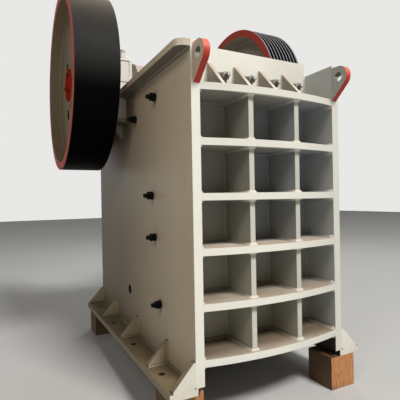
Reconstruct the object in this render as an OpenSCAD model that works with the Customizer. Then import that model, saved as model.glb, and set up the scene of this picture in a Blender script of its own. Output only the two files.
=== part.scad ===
// Jaw crusher with a welded box frame, standing on four timber blocks.
// Lengths are in millimetres. Up is +Z, the ribbed front faces -Y, the belt wheel is on +X.
// Inside the modules y = 0 is the front edge of the side plates and z = 0 the underside of the feet.

/* [Frame] */
// Width over the two side plates
frame_w = 1280; // [1200:10:1400]
// Length of the side plates, front to back
frame_l = 2483; // [2460:1:2560]
// Thickness of a side plate
plate_t = 63; // [50:1:80]
// Height of the top edge of a side plate
side_h = 2262; // [2230:1:2320]
// Height of the rear corner where the side plate slopes down to the back
rear_corner_h = 1640; // [1560:10:1700]
// Width of the flat top of the post behind the bearing seat
rear_post_w = 90; // [70:1:120]
// Height of that post above the bearing seat
rear_post_h = 170; // [140:1:200]
// Diameter of the hole low in each side plate
side_hole_d = 84; // [60:1:110]
// Distance of that hole from the front edge
side_hole_y = 1381; // [1300:1:1450]
// Height of that hole
side_hole_z = 404; // [360:1:440]

/* [Top flange] */
// How far the top flange stands out from the side plate
flange_w = 92; // [70:1:110]
// Thickness of the top flange
flange_t = 46; // [30:1:60]
// Radius of the rounded front corner of the flange
flange_r = 70; // [30:1:70]

/* [Front grid] */
// Height of the top of the lowest shelf
shelf_first = 215; // [190:1:240]
// Height from one shelf to the next
shelf_pitch = 357; // [340:1:365]
// Thickness of a shelf
shelf_t = 48; // [35:1:60]
// How far the shelves bow forward at the middle
shelf_bow = 65; // [40:1:110]
// Depth of the pockets, from the side plate edge to the front wall
pocket_depth = 302; // [260:1:330]
// Distance between the two columns of ribs, centre to centre
rib_gap = 399; // [340:1:440]
// Thickness of a rib
rib_t = 40; // [30:1:60]
// How far the ribs stand back from the bowed shelf edge
rib_setback = 36; // [20:1:60]

/* [Front wall] */
// Thickness of the front wall
wall_t = 50; // [40:1:60]
// Height of the top edge of the front wall
wall_h = 2367; // [2340:1:2420]
// Depth of the triangular gussets on the top shelf
apron_gusset_depth = 244; // [200:1:255]
// Height of these gussets as a share of the front wall above the top shelf
apron_gusset_share = 0.665; // [0.5:0.005:0.8]
// Thickness of these gussets
apron_gusset_t = 28; // [20:1:40]
// Blunt end at both tips of these gussets
apron_gusset_blunt = 14; // [8:1:24]
// Distance between these gussets
apron_gusset_pitch = 230; // [200:1:240]

/* [Bolts] */
// Height of the row of jaw bolts as a share of the front wall above the top shelf
jaw_bolt_share = 0.417; // [0.35:0.001:0.5]
// Diameter of a jaw bolt
jaw_bolt_d = 36; // [30:1:48]
// Width across the flats of a jaw bolt nut
jaw_nut_af = 60; // [55:1:70]
// Height of a jaw bolt nut
jaw_nut_h = 52; // [40:1:60]
// Side of the square washer
jaw_washer = 74; // [70:1:100]
// Thickness of the square washer
jaw_washer_t = 12; // [8:1:20]
// How far a jaw bolt stands out from the wall
jaw_bolt_out = 104; // [90:1:120]
// Diameter of a cheek bolt
cheek_bolt_d = 36; // [28:1:42]
// Width across the flats of a cheek nut
cheek_nut_af = 56; // [48:1:65]
// Height of a cheek nut
cheek_nut_h = 30; // [24:1:34]
// Height of the lock nut on it
lock_nut_h = 16; // [12:1:20]
// How far a cheek bolt stands out from the side plate
cheek_bolt_out = 78; // [60:1:90]

/* [Lifting lugs] */
// Radius of the lug eye
lug_r = 80; // [60:1:100]
// Diameter of the lug hole
lug_hole_d = 70; // [50:1:80]
// How far the eye centre lies in front of the side plate edge
lug_y = 66; // [50:1:80]
// Height of the eye centre
lug_z = 2160; // [2130:1:2180]
// Height where the lug meets the side plate edge below
lug_foot_z = 1990; // [1940:1:2030]
// Thickness of the lug plate
lug_t = 45; // [30:1:50]

/* [Feet] */
// Thickness of a foot plate
foot_t = 46; // [35:1:60]
// How far a foot plate stands out from the side plate
foot_out = 182; // [160:1:220]
// How far the inner edge of a foot plate stands back below the side plate
foot_inset = 38; // [20:1:45]
// Height of the top of the triangular foot gussets
foot_gusset_h = 212; // [160:1:240]
// Thickness of the gussets at both ends of a foot
end_gusset_t = 40; // [30:1:50]
// Thickness of the gussets between them
mid_gusset_t = 32; // [24:1:40]
// Distance of the toe of a foot gusset from the outer edge of the foot plate
gusset_toe = 24; // [10:1:40]
// Height of the blunt toe
gusset_toe_h = 14; // [6:1:24]
// Width of the flat top of a foot gusset
gusset_top_w = 14; // [8:1:24]
// Distance from the front edge to the first gusset behind it
mid_gusset_first = 452; // [420:1:520]
// Distance from the rear edge to the last of them
mid_gusset_last = 668; // [640:1:720]
// Diameter of the anchor bolt holes
anchor_hole_d = 42; // [34:1:52]
// Distance of the anchor holes from the side plate
anchor_hole_out = 112; // [90:1:125]
// Distance of the first anchor hole from the front edge
anchor_hole_first = 305; // [280:1:330]
// Distance of the last anchor hole from the rear edge
anchor_hole_last = 267; // [250:1:300]

/* [Timber blocks] */
// Height of the timber blocks
block_h = 250; // [150:10:350]
// Width of a timber block
block_w = 240; // [180:5:260]
// Length of a timber block, front to back
block_l = 250; // [180:5:280]
// Distance from the middle plane to the right front block
block_inner_x = 528; // [500:1:560]
// Distance from the middle plane to the other blocks
block_outer_x = 563; // [540:1:590]
// How far the left front block stands back from the front edge
block_left_y = 50; // [0:5:50]
// How far the rear blocks stand in front of the rear edge
block_rear_y = 73; // [0:1:120]

/* [Shaft and bearings] */
// Distance of the shaft from the front edge
shaft_y = 1824; // [1800:1:1850]
// Height of the shaft
shaft_z = 2403; // [2390:1:2420]
// Diameter of the shaft in its bearings
shaft_d = 240; // [200:2:260]
// Diameter of the thick part of the shaft inside the swing jaw
journal_d = 300; // [280:2:310]
// Distance of the journal axis from the shaft axis
journal_throw = 20; // [10:1:24]
// Radial running clearance of the shaft in a bearing
bearing_clearance = 0.05; // [0.02:0.01:0.1]
// Distance from the shaft to the front and rear ends of a bearing housing
housing_half_l = 429; // [415:1:440]
// Outer end of a bearing housing, from the middle plane
housing_outer_x = 770; // [750:1:780]
// Distance of the sunk end panels of a housing from its edges
panel_edge = 26; // [20:1:34]
// Depth of these panels
panel_depth = 7; // [4:1:10]
// Radius of the round crown of a bearing cap
crown_r = 300; // [280:1:320]
// Height of the cap feet above the shaft
cap_foot_h = 200; // [180:1:220]
// Rounding of the cap feet
cap_foot_r = 16; // [10:1:24]
// Distance of a cap bolt from the shaft
cap_bolt_y = 374; // [360:1:380]
// Distance of a cap bolt from the middle plane
cap_bolt_x = 655; // [640:1:690]
// Diameter of a cap bolt
cap_bolt_d = 56; // [48:1:64]
// Width across the flats of a cap bolt nut
cap_nut_af = 85; // [76:1:90]
// Height of that nut
cap_nut_h = 50; // [40:1:60]
// How far a cap bolt stands out from the cap
cap_bolt_out = 88; // [75:1:100]
// Radius of the round cover on the outside of a bearing
bearing_cover_r = 205; // [190:1:220]
// Thickness of that cover
bearing_cover_t = 20; // [12:1:24]
// Height of the shaft above the seat of its bearing housing
seat_drop = 373; // [350:1:400]
// Side gap between the housing and the edges of its seat
seat_gap = 0.5; // [0.3:0.1:1]
// Thickness of the seat pad outside the side plate
seat_pad_t = 42; // [30:1:50]
// Height of the brackets below the pad
seat_bracket_h = 142; // [100:1:160]
// Thickness of the brackets below the pad
seat_bracket_t = 32; // [20:1:40]
// Blunt lower end of a bracket
seat_bracket_blunt = 26; // [16:1:36]
// Distance of a bracket from the end of the pad
seat_bracket_y = 102; // [80:1:130]

/* [Wheels] */
// Diameter of the two wheels
wheel_d = 1682; // [1640:2:1720]
// Width of the wheel rims
wheel_w = 377; // [340:1:400]
// Distance from the middle plane to the inner face of a wheel
wheel_x = 804; // [798:1:820]
// Radial thickness of the rim
rim_t = 76; // [60:1:90]
// Depth from the outer rim face to the web
web_recess = 116; // [80:1:130]
// Thickness of the web
web_t = 80; // [60:1:100]
// Radius of the hub
hub_r = 200; // [185:1:220]
// How far the hub end lies inside the outer rim face
hub_recess = 90; // [70:1:100]
// Bevel between rim, web and hub
wheel_bevel = 26; // [12:1:40]
// Number of round holes in the web
web_holes = 4; // [3:1:6]
// Diameter of the web holes
web_hole_d = 110; // [80:1:130]
// Distance of the web holes from the shaft axis
web_hole_r = 345; // [300:1:400]
// Number of belt grooves
grooves = 8; // [6:1:9]
// Distance between the belt grooves
groove_pitch = 44; // [38:1:46]
// Depth of a belt groove
groove_depth = 26; // [16:1:32]
// Radius of the hub cover
cover_r = 160; // [140:1:180]
// Thickness of the hub cover
cover_t = 14; // [8:1:20]

/* [Jaws] */
// Thickness of a cheek plate
cheek_t = 30; // [20:1:40]
// Side clearance of the swing jaw to the cheek plates
jaw_side_gap = 12; // [8:1:20]
// Thickness of a jaw plate without its teeth
jaw_plate_t = 60; // [45:1:75]
// Height of the jaw plate teeth
tooth_h = 26; // [15:1:35]
// Distance between the jaw plate teeth
tooth_pitch = 97; // [80:1:110]
// Height of the lower end of the fixed jaw plate
fixed_jaw_z = 400; // [380:1:430]
// Height of the upper end of the fixed jaw plate
fixed_jaw_top = 2140; // [2100:1:2180]
// Distance of the lower front corner of the swing jaw from the front edge
swing_foot_y = 735; // [715:1:760]
// Height of that corner
swing_foot_z = 420; // [400:1:440]
// Distance of the upper front corner of the swing jaw from the front edge
swing_head_y = 1330; // [1310:1:1350]
// Height of that corner
swing_head_z = 2160; // [2120:1:2200]
// Thickness of the front slab of the swing jaw
slab_t = 90; // [70:1:110]
// Thickness of the webs behind the slab
swing_web_t = 50; // [36:1:60]
// Outer radius of the swing jaw barrel at its end rings
barrel_r = 290; // [270:1:310]
// How far the end rings stand above the barrel
barrel_lip = 8; // [4:1:14]
// Width of an end ring
barrel_ring_w = 24; // [18:1:34]
// Half length of the barrel
barrel_x = 462; // [450:1:480]
// Thickness of the end walls of the barrel
barrel_end_t = 22; // [15:1:30]
// Radial gap round the turning journal
barrel_gap = 8; // [6:1:12]

/* [Toggle] */
// Distance of the front toggle bearing from the front edge
toggle_front_y = 1020; // [1000:1:1040]
// Height of the front toggle bearing
toggle_front_z = 520; // [500:1:540]
// Distance of the rear toggle bearing from the front edge
toggle_rear_y = 1800; // [1780:1:1820]
// Height of the rear toggle bearing
toggle_rear_z = 700; // [680:1:720]
// Thickness of the toggle plate
toggle_t = 60; // [44:1:70]
// Radius of the rounded toggle ends
toggle_end_r = 45; // [40:1:50]
// Width of the toggle plate
toggle_w = 800; // [700:10:860]
// Depth of a toggle seat
toggle_seat_t = 60; // [55:1:80]
// Height of a toggle seat
toggle_seat_h = 130; // [120:1:160]
// Gap between a rounded toggle end and its seat
toggle_gap = 0.3; // [0.2:0.1:0.6]
// Height of the toggle cross beam
beam_h = 320; // [280:10:360]
// Wall thickness of the cross beam
beam_wall = 40; // [30:1:50]

/* [Rear wall] */
// Thickness of the rear wall
rear_wall_t = 50; // [40:1:60]
// Depth of the ribs on the rear wall
rear_rib_d = 53; // [40:1:70]
// Thickness of the ribs on the rear wall
rear_rib_t = 40; // [30:1:50]
// Height of the lower edge of the rear wall
rear_wall_z = 300; // [280:1:330]
// Height of the upper edge of the rear wall
rear_wall_top = 1500; // [1440:1:1560]

/* [Tension rod] */
// Diameter of the tension rod
rod_d = 50; // [40:1:56]
// Height of the tension rod
rod_z = 420; // [400:1:430]
// Diameter of the hole for the rod in the rear wall
rod_hole_d = 86; // [75:1:100]
// Outer diameter of the spring
spring_d = 130; // [120:1:150]
// Diameter of the spring wire
spring_wire = 20; // [16:1:24]
// Turns of the spring
spring_turns = 4; // [3:1:5]
// Length of the spring
spring_l = 130; // [120:1:150]
// Thickness of the washers at both ends of the spring
spring_washer_t = 12; // [8:1:16]

/* [Hidden] */

$fn = 96;
LEFT = -1;
RIGHT = 1;
cream = "#e8e2d4";
grey = "#8b8680";
orange_red = "#c83c2d";
black = "#26262a";
dark_steel = "#55565a";
timber = "#c08048";

half_w = frame_w / 2;
inner_x = half_w - plate_t;
wheel_r = wheel_d / 2;
lug_nose = lug_y + lug_r;
front_y = -((shaft_y + wheel_r) - lug_nose) / 2;
shelf_count = floor((lug_foot_z + shelf_t - shelf_first) / shelf_pitch) + 1;
shelf_top = [for (i = [0 : shelf_count - 1]) shelf_first + i * shelf_pitch];
bow_r = (inner_x * inner_x + shelf_bow * shelf_bow) / (2 * shelf_bow);
bow_y = bow_r - shelf_bow;
top_shelf_z = shelf_top[shelf_count - 1];
apron_h = wall_h - top_shelf_z;
wall_back = pocket_depth + wall_t;
seat_front = shaft_y - housing_half_l - seat_gap;
seat_back = shaft_y + housing_half_l + seat_gap;
cheek_x = inner_x - cheek_t;
jaw_w = 2 * (cheek_x - jaw_side_gap);
tooth_base = [0.12, 0.88];
tooth_tip = [0.32, 0.68];
swing_run = swing_head_y - swing_foot_y;
swing_rise = swing_head_z - swing_foot_z;
swing_tilt = atan2(swing_run, swing_rise);
swing_len = norm([swing_run, swing_rise]);
seat_z = shaft_z - seat_drop;
shaft_end_x = wheel_x + wheel_w - hub_recess;
toe_back = toggle_front_y - toggle_seat_t;
beam_front = toggle_rear_y + toggle_seat_t;
rear_wall_y = frame_l - rear_rib_d - rear_wall_t;
rear_rib_y = rear_wall_y + rear_wall_t;
rear_step = (rear_wall_top - rear_wall_z - rear_rib_t) / 3;
cheek_bolt_places = [[625, 2042], [1108, 1959], [720, 1282], [672, 955], [588, 447]];

// Places a shape that is drawn from the frame's own corner
module placed() {
    translate([0, front_y, block_h]) children();
}

// Places a right-hand shape on the right or mirrors it to the left
module at_side(side) {
    placed() mirror([side < 0 ? 1 : 0, 0, 0]) children();
}

// Plate across X from a profile drawn in Y and Z
module plate_x(x, t) {
    translate([x, 0, 0]) rotate([90, 0, 90]) linear_extrude(t) children();
}

// Plate across Y from a profile drawn in X and Z
module plate_y(y, t) {
    translate([0, y + t, 0]) rotate([90, 0, 0]) linear_extrude(t) children();
}

// Box from its low corner to its high corner
module box(low, high) {
    translate(low) cube(high - low);
}

// Round bar along X
module bar_x(x1, x2, y, z, r) {
    translate([x1, y, z]) rotate([0, 90, 0]) cylinder(h = x2 - x1, r = r);
}

// Hexagon nut with its washer face at the origin, standing along +Z
module nut(af, h) {
    cylinder(h = h, d = af / cos(30), $fn = 6);
}

// Corrugated jaw plate: teeth run along Z and point to -Y, the back lies at y = 0
module toothed_plate(width, height) {
    count = floor(width / tooth_pitch);
    side = (width - count * tooth_pitch) / 2;
    face = [for (i = [0 : count - 1]) each [
        [side + (i + tooth_base[0]) * tooth_pitch, jaw_plate_t],
        [side + (i + tooth_tip[0]) * tooth_pitch, jaw_plate_t + tooth_h],
        [side + (i + tooth_tip[1]) * tooth_pitch, jaw_plate_t + tooth_h],
        [side + (i + tooth_base[1]) * tooth_pitch, jaw_plate_t]
    ]];
    outline = concat([[0, 0], [0, jaw_plate_t]], face, [[width, jaw_plate_t], [width, 0]]);
    translate([-width / 2, 0, 0]) mirror([0, 1, 0]) linear_extrude(height) polygon(outline);
}

module timber_blocks() {
    rear_y = frame_l - block_rear_y - block_l;
    color(timber) placed() for (corner = [[RIGHT, block_inner_x, 0], [LEFT, block_outer_x, block_left_y],
                                          [RIGHT, block_outer_x, rear_y], [LEFT, block_outer_x, rear_y]])
        mirror([corner[0] < 0 ? 1 : 0, 0, 0]) translate([corner[1], corner[2], -block_h])
            cube([block_w, block_l, block_h]);
}

module foot_plate(side) {
    hole_x = half_w + anchor_hole_out;
    hole_pitch = (frame_l - anchor_hole_first - anchor_hole_last) / 3;
    color(cream) at_side(side) difference() {
        box([inner_x + foot_inset, 0, 0], [half_w + foot_out, frame_l, foot_t]);
        for (i = [0 : 3]) translate([hole_x, anchor_hole_first + i * hole_pitch, -1])
            cylinder(h = foot_t + 2, d = anchor_hole_d);
    }
}

// Triangle between the foot plate and the side plate
module foot_gusset(y, t) {
    toe_x = half_w + foot_out - gusset_toe;
    plate_y(y, t) polygon([
        [half_w, foot_t], [toe_x, foot_t], [toe_x, foot_t + gusset_toe_h],
        [half_w + gusset_top_w, foot_gusset_h], [half_w, foot_gusset_h]
    ]);
}

module foot_gussets(side) {
    pitch = (frame_l - mid_gusset_first - mid_gusset_last) / 2;
    color(cream) at_side(side) {
        foot_gusset(0, end_gusset_t);
        for (i = [0 : 2]) foot_gusset(mid_gusset_first + i * pitch, mid_gusset_t);
        foot_gusset(frame_l - end_gusset_t, end_gusset_t);
    }
}

module side_plate(side) {
    post_y = seat_back + rear_post_w;
    post_z = seat_z + rear_post_h;
    color(cream) at_side(side) plate_x(inner_x, plate_t) difference() {
        polygon([
            [0, foot_t], [0, side_h], [seat_front, side_h], [seat_front, seat_z], [seat_back, seat_z],
            [seat_back, post_z], [post_y, post_z], [frame_l, rear_corner_h], [frame_l, foot_t]
        ]);
        translate([side_hole_y, side_hole_z]) circle(d = side_hole_d);
    }
}

module top_flange(side) {
    edge = half_w + flange_w;
    color(cream) at_side(side) translate([0, 0, side_h - flange_t]) intersection() {
        union() {
            translate([edge - flange_r, flange_r, 0]) cylinder(h = flange_t, r = flange_r);
            box([half_w, flange_r, 0], [edge, seat_front, flange_t]);
            box([half_w, 0, 0], [edge - flange_r, flange_r, flange_t]);
        }
        box([half_w, -1, -1], [edge + 1, frame_l, flange_t + 1]);
    }
}

// Outline of a lug: a round eye with a level top and a tangent down to the edge of the side plate
module lug_outline() {
    eye = [-lug_y, lug_z];
    low = [0, lug_foot_z];
    a_low = atan2(low.y - eye.y, low.x - eye.x) - acos(lug_r / norm(low - eye));
    union() {
        translate(eye) circle(r = lug_r);
        polygon([
            eye, eye + [0, lug_r], [0, lug_z + lug_r], low, eye + lug_r * [cos(a_low), sin(a_low)]
        ]);
    }
}

module lifting_lug(side) {
    color(orange_red) at_side(side) plate_x(inner_x, lug_t) difference() {
        intersection() {
            lug_outline();
            translate([-lug_nose, 0]) square([lug_nose, side_h + lug_r]);
        }
        translate([-lug_y, lug_z]) circle(d = lug_hole_d);
    }
}

module front_wall() {
    color(cream) placed()
        box([-inner_x, pocket_depth, shelf_first - shelf_t], [inner_x, wall_back, wall_h]);
}

module front_shelves() {
    color(cream) placed() for (z = shelf_top) translate([0, 0, z - shelf_t]) intersection() {
        translate([0, bow_y, 0]) cylinder(h = shelf_t, r = bow_r, $fn = 720);
        box([-inner_x, -shelf_bow - 1, 0], [inner_x, pocket_depth, shelf_t]);
    }
}

module front_ribs() {
    rib_x = rib_gap / 2;
    rib_front = bow_y - sqrt(bow_r * bow_r - rib_x * rib_x) + rib_setback;
    color(cream) placed() for (i = [0 : shelf_count - 2], side = [LEFT, RIGHT])
        box([side * rib_x - rib_t / 2, rib_front, shelf_top[i]],
            [side * rib_x + rib_t / 2, pocket_depth, shelf_top[i + 1] - shelf_t]);
}

module apron_gussets() {
    depth = apron_gusset_depth;
    top = apron_gusset_share * apron_h;
    blunt = apron_gusset_blunt;
    color(cream) placed() for (i = [-1.5 : 1 : 1.5])
        plate_x(i * apron_gusset_pitch - apron_gusset_t / 2, apron_gusset_t)
            translate([pocket_depth, top_shelf_z])
            polygon([[0, 0], [-depth, 0], [-depth, blunt], [-blunt, top], [0, top]]);
}

module jaw_bolts() {
    bolt_z = top_shelf_z + jaw_bolt_share * apron_h;
    color(dark_steel) placed() for (i = [-2 : 2])
        translate([i * apron_gusset_pitch, pocket_depth, bolt_z]) rotate([90, 0, 0]) union() {
            translate([-jaw_washer / 2, -jaw_washer / 2, 0]) cube([jaw_washer, jaw_washer, jaw_washer_t]);
            translate([0, 0, jaw_washer_t]) nut(jaw_nut_af, jaw_nut_h);
            cylinder(h = jaw_bolt_out, d = jaw_bolt_d);
        }
}

module cheek_plate(side) {
    low = fixed_jaw_z - 20;
    slope = swing_run / swing_rise;
    back_low = swing_foot_y + slab_t;
    color(grey) at_side(side) plate_x(cheek_x, cheek_t) polygon([
        [wall_back, low], [wall_back, fixed_jaw_top], [back_low + slope * (fixed_jaw_top - low), fixed_jaw_top],
        [back_low, low]
    ]);
}

module cheek_bolts(side) {
    nut_gap = 2;
    color(black) at_side(side) for (p = cheek_bolt_places)
        translate([half_w, p.x, p.y]) rotate([0, 90, 0]) union() {
            nut(cheek_nut_af, cheek_nut_h);
            translate([0, 0, cheek_nut_h + nut_gap]) rotate([0, 0, 18]) nut(cheek_nut_af, lock_nut_h);
            cylinder(h = cheek_bolt_out, d = cheek_bolt_d);
        }
}

module fixed_jaw_plate() {
    color(dark_steel) placed() translate([0, wall_back, fixed_jaw_z]) mirror([0, 1, 0])
        toothed_plate(jaw_w, fixed_jaw_top - fixed_jaw_z);
}

// Turns a shape to the slope of the swing jaw, with the origin at its lower front corner
module on_swing_jaw() {
    placed() translate([0, swing_foot_y, swing_foot_z]) rotate([-swing_tilt, 0, 0]) children();
}

module swing_jaw_plate() {
    color(dark_steel) on_swing_jaw() toothed_plate(jaw_w, swing_len);
}

// Side view of the webs that tie slab, toe and barrel together
module swing_web_outline() {
    polygon([
        [swing_foot_y + 60, swing_foot_z + 40], [toe_back - 12, swing_foot_z + 40],
        [toe_back - 12, toggle_front_z + 90], [shaft_y + 0.5 * barrel_r, shaft_z - 0.7 * barrel_r],
        [shaft_y, shaft_z], [swing_head_y + 50, swing_head_z - 20]
    ]);
}

// Side view of the neck between the slab and the barrel
module swing_neck_outline() {
    polygon([
        [swing_head_y + 20, swing_head_z - 10], [shaft_y - 0.6 * barrel_r, shaft_z + 0.75 * barrel_r],
        [shaft_y, shaft_z], [shaft_y - 0.4 * barrel_r, shaft_z - 0.85 * barrel_r],
        [swing_head_y + 70, swing_head_z - 80]
    ]);
}

// Side view of the toe that carries the front toggle seat
module swing_toe_outline() {
    polygon([
        [swing_foot_y + 30, swing_foot_z + 5], [toe_back, swing_foot_z - 20],
        [toe_back, toggle_front_z + 120], [swing_foot_y + 120, toggle_front_z + 160]
    ]);
}

module swing_jaw() {
    journal_clear = journal_d / 2 + journal_throw + barrel_gap;
    web_x = barrel_x - 30;
    web_step = (2 * web_x - swing_web_t) / 3;
    neck_x = barrel_x - 12;
    toe_x = jaw_w / 2 - 12;
    color(grey) difference() {
        union() {
            on_swing_jaw() box([-jaw_w / 2, 0, 0], [jaw_w / 2, slab_t, swing_len]);
            placed() plate_x(-toe_x, 2 * toe_x) swing_toe_outline();
            placed() for (i = [0 : 3]) plate_x(-web_x + i * web_step, swing_web_t) swing_web_outline();
            placed() plate_x(-neck_x, 2 * neck_x) swing_neck_outline();
            placed() bar_x(-barrel_x, barrel_x, shaft_y, shaft_z, barrel_r - barrel_lip);
            placed() for (x = [-barrel_x, barrel_x - barrel_ring_w])
                bar_x(x, x + barrel_ring_w, shaft_y, shaft_z, barrel_r);
        }
        placed() bar_x(-barrel_x + barrel_end_t, barrel_x - barrel_end_t, shaft_y, shaft_z, journal_clear);
        placed() bar_x(-jaw_w, jaw_w, shaft_y, shaft_z, shaft_d / 2 + barrel_gap);
    }
}

module bearing_seat(side) {
    tip_x = housing_outer_x - 10;
    pad_z = seat_z - seat_pad_t;
    pad_mid = seat_z - seat_pad_t / 2;
    low_z = pad_z - seat_bracket_h;
    color(cream) at_side(side) union() {
        box([half_w, seat_front, pad_z], [housing_outer_x, seat_back, seat_z]);
        for (y = [seat_front + seat_bracket_y, seat_back - seat_bracket_y - seat_bracket_t])
            plate_y(y, seat_bracket_t) polygon([
                [half_w, pad_mid], [tip_x, pad_mid], [tip_x, pad_z],
                [half_w + seat_bracket_blunt, low_z], [half_w, low_z]
            ]);
    }
}

// Two shallow pockets in the front and rear ends of a housing, between two heights
module end_panels(low_z, high_z) {
    span_x = housing_outer_x - inner_x - 2 * panel_edge;
    for (y = [shaft_y - housing_half_l - 1, shaft_y + housing_half_l - panel_depth])
        translate([inner_x + panel_edge, y, low_z + panel_edge])
            cube([span_x, panel_depth + 1, high_z - low_z - 2 * panel_edge]);
}

// Lower half of a split bearing housing, cut at the height of the shaft
module bearing_housing(side) {
    color(cream) at_side(side) difference() {
        box([inner_x, shaft_y - housing_half_l, seat_z], [housing_outer_x, shaft_y + housing_half_l, shaft_z]);
        end_panels(seat_z, shaft_z);
        bar_x(0, wheel_x, shaft_y, shaft_z, shaft_d / 2 + bearing_clearance);
    }
}

// Side view of a bearing cap: two feet with rounded corners and a round crown
module cap_outline() {
    foot = housing_half_l - cap_foot_r;
    translate([-housing_half_l, 0]) square([2 * housing_half_l, cap_foot_h - cap_foot_r]);
    translate([-foot, 0]) square([2 * foot, cap_foot_h]);
    for (y = [-foot, foot]) translate([y, cap_foot_h - cap_foot_r]) circle(r = cap_foot_r);
    intersection() {
        circle(r = crown_r);
        translate([-crown_r, 0]) square([2 * crown_r, crown_r]);
    }
}

module bearing_cap(side) {
    color(cream) at_side(side) difference() {
        plate_x(inner_x, housing_outer_x - inner_x) translate([shaft_y, shaft_z]) cap_outline();
        end_panels(shaft_z, shaft_z + cap_foot_h);
        bar_x(0, wheel_x, shaft_y, shaft_z, shaft_d / 2 + bearing_clearance);
    }
}

module cap_bolts() {
    color(cream) for (side = [LEFT, RIGHT], y = [-cap_bolt_y, cap_bolt_y])
        at_side(side) translate([cap_bolt_x, shaft_y + y, shaft_z + cap_foot_h]) union() {
            nut(cap_nut_af, cap_nut_h);
            cylinder(h = cap_bolt_out, d = cap_bolt_d);
        }
}

module bearing_cover(side) {
    color(grey) at_side(side) difference() {
        bar_x(housing_outer_x, housing_outer_x + bearing_cover_t, shaft_y, shaft_z, bearing_cover_r);
        bar_x(housing_outer_x - 1, housing_outer_x + bearing_cover_t + 1, shaft_y, shaft_z, shaft_d / 2 + 5);
    }
}

module eccentric_shaft() {
    journal_x = barrel_x - barrel_end_t - 10;
    color(dark_steel) placed() union() {
        bar_x(-shaft_end_x, shaft_end_x, shaft_y, shaft_z, shaft_d / 2);
        bar_x(-journal_x, journal_x, shaft_y - journal_throw, shaft_z, journal_d / 2);
    }
}

// Turned wheel body about Z, with its outer rim face at z = wheel_w and the tread points given
module wheel_body(tread) {
    rim_in = wheel_r - rim_t;
    web_out = wheel_w - web_recess;
    web_in = web_out - web_t;
    hub_out = wheel_w - hub_recess;
    b = wheel_bevel;
    bore = shaft_d / 2 + bearing_clearance;
    difference() {
        rotate_extrude($fn = 180) polygon(concat(tread, [
            [rim_in, wheel_w], [rim_in - b * 0.3, web_out + b], [rim_in - b, web_out],
            [hub_r + b, web_out], [hub_r, hub_out], [bore, hub_out], [bore, 0], [hub_r, 0],
            [hub_r + b * 0.3, web_in - b], [hub_r + b, web_in], [rim_in - b, web_in],
            [rim_in - b * 0.3, web_in - b], [rim_in, 0]
        ]));
        for (i = [0 : web_holes - 1]) rotate([0, 0, (i + 0.5) * 360 / web_holes])
            translate([web_hole_r, 0, web_in - 1]) cylinder(h = web_t + 2, d = web_hole_d);
    }
}

module flywheel() {
    color(black) at_side(LEFT) translate([wheel_x, shaft_y, shaft_z]) rotate([0, 90, 0])
        wheel_body([[wheel_r, 0], [wheel_r, wheel_w]]);
}

// Tread points of the belt wheel: one trapezoid groove after another
function groove_points(first) = [for (i = [0 : grooves - 1]) each [
    [wheel_r, first + (i + 0.1) * groove_pitch],
    [wheel_r - groove_depth, first + (i + 0.3) * groove_pitch],
    [wheel_r - groove_depth, first + (i + 0.7) * groove_pitch],
    [wheel_r, first + (i + 0.9) * groove_pitch]
]];

module belt_wheel() {
    first = (wheel_w - grooves * groove_pitch) / 2;
    color(black) at_side(RIGHT) translate([wheel_x, shaft_y, shaft_z]) rotate([0, 90, 0])
        wheel_body(concat([[wheel_r, 0]], groove_points(first), [[wheel_r, wheel_w]]));
}

module hub_cover(side) {
    color(orange_red) at_side(side) translate([shaft_end_x, shaft_y, shaft_z]) rotate([0, 90, 0])
        rotate_extrude() polygon([[0, 0], [cover_r, 0], [cover_r, cover_t - 5], [cover_r - 5, cover_t], [0, cover_t]]);
}

module toggle_plate() {
    front = [toggle_front_y, toggle_front_z];
    span = [toggle_rear_y, toggle_rear_z] - front;
    color(dark_steel) placed() plate_x(-toggle_w / 2, toggle_w) union() {
        translate(front) circle(r = toggle_end_r);
        translate(front + span) circle(r = toggle_end_r);
        translate(front) rotate(atan2(span.y, span.x)) translate([0, -toggle_t / 2])
            square([norm(span), toggle_t]);
    }
}

module toggle_seats() {
    groove = toggle_end_r + toggle_gap;
    color(grey) placed() for (seat = [[toe_back, toggle_front_y, toggle_front_z],
                                      [toggle_rear_y, toggle_rear_y, toggle_rear_z]])
        plate_x(-toggle_w / 2, toggle_w) difference() {
            translate([seat[0], seat[2] - toggle_seat_h / 2]) square([toggle_seat_t, toggle_seat_h]);
            translate([seat[1], seat[2]]) circle(r = groove);
        }
}

module toggle_beam() {
    low = toggle_rear_z - beam_h / 2;
    color(cream) placed() plate_x(-inner_x, 2 * inner_x) difference() {
        translate([beam_front, low]) square([rear_wall_y - beam_front, beam_h]);
        translate([beam_front + beam_wall, low + beam_wall])
            square([rear_wall_y - beam_front - 2 * beam_wall, beam_h - 2 * beam_wall]);
    }
}

module rear_wall() {
    color(cream) placed() difference() {
        box([-inner_x, rear_wall_y, rear_wall_z], [inner_x, rear_wall_y + rear_wall_t, rear_wall_top]);
        translate([0, rear_wall_y - 1, rod_z]) rotate([-90, 0, 0])
            cylinder(h = rear_wall_t + 2, d = rod_hole_d);
    }
}

module rear_shelves() {
    color(cream) placed() for (i = [0 : 3]) translate([-inner_x, rear_rib_y, rear_wall_z + i * rear_step])
        cube([2 * inner_x, rear_rib_d, rear_rib_t]);
}

module rear_ribs() {
    color(cream) placed() for (i = [0 : 2], side = [LEFT, RIGHT])
        translate([side * rib_gap / 2 - rear_rib_t / 2, rear_rib_y, rear_wall_z + i * rear_step + rear_rib_t])
            cube([rear_rib_t, rear_rib_d, rear_step - rear_rib_t]);
}

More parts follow.
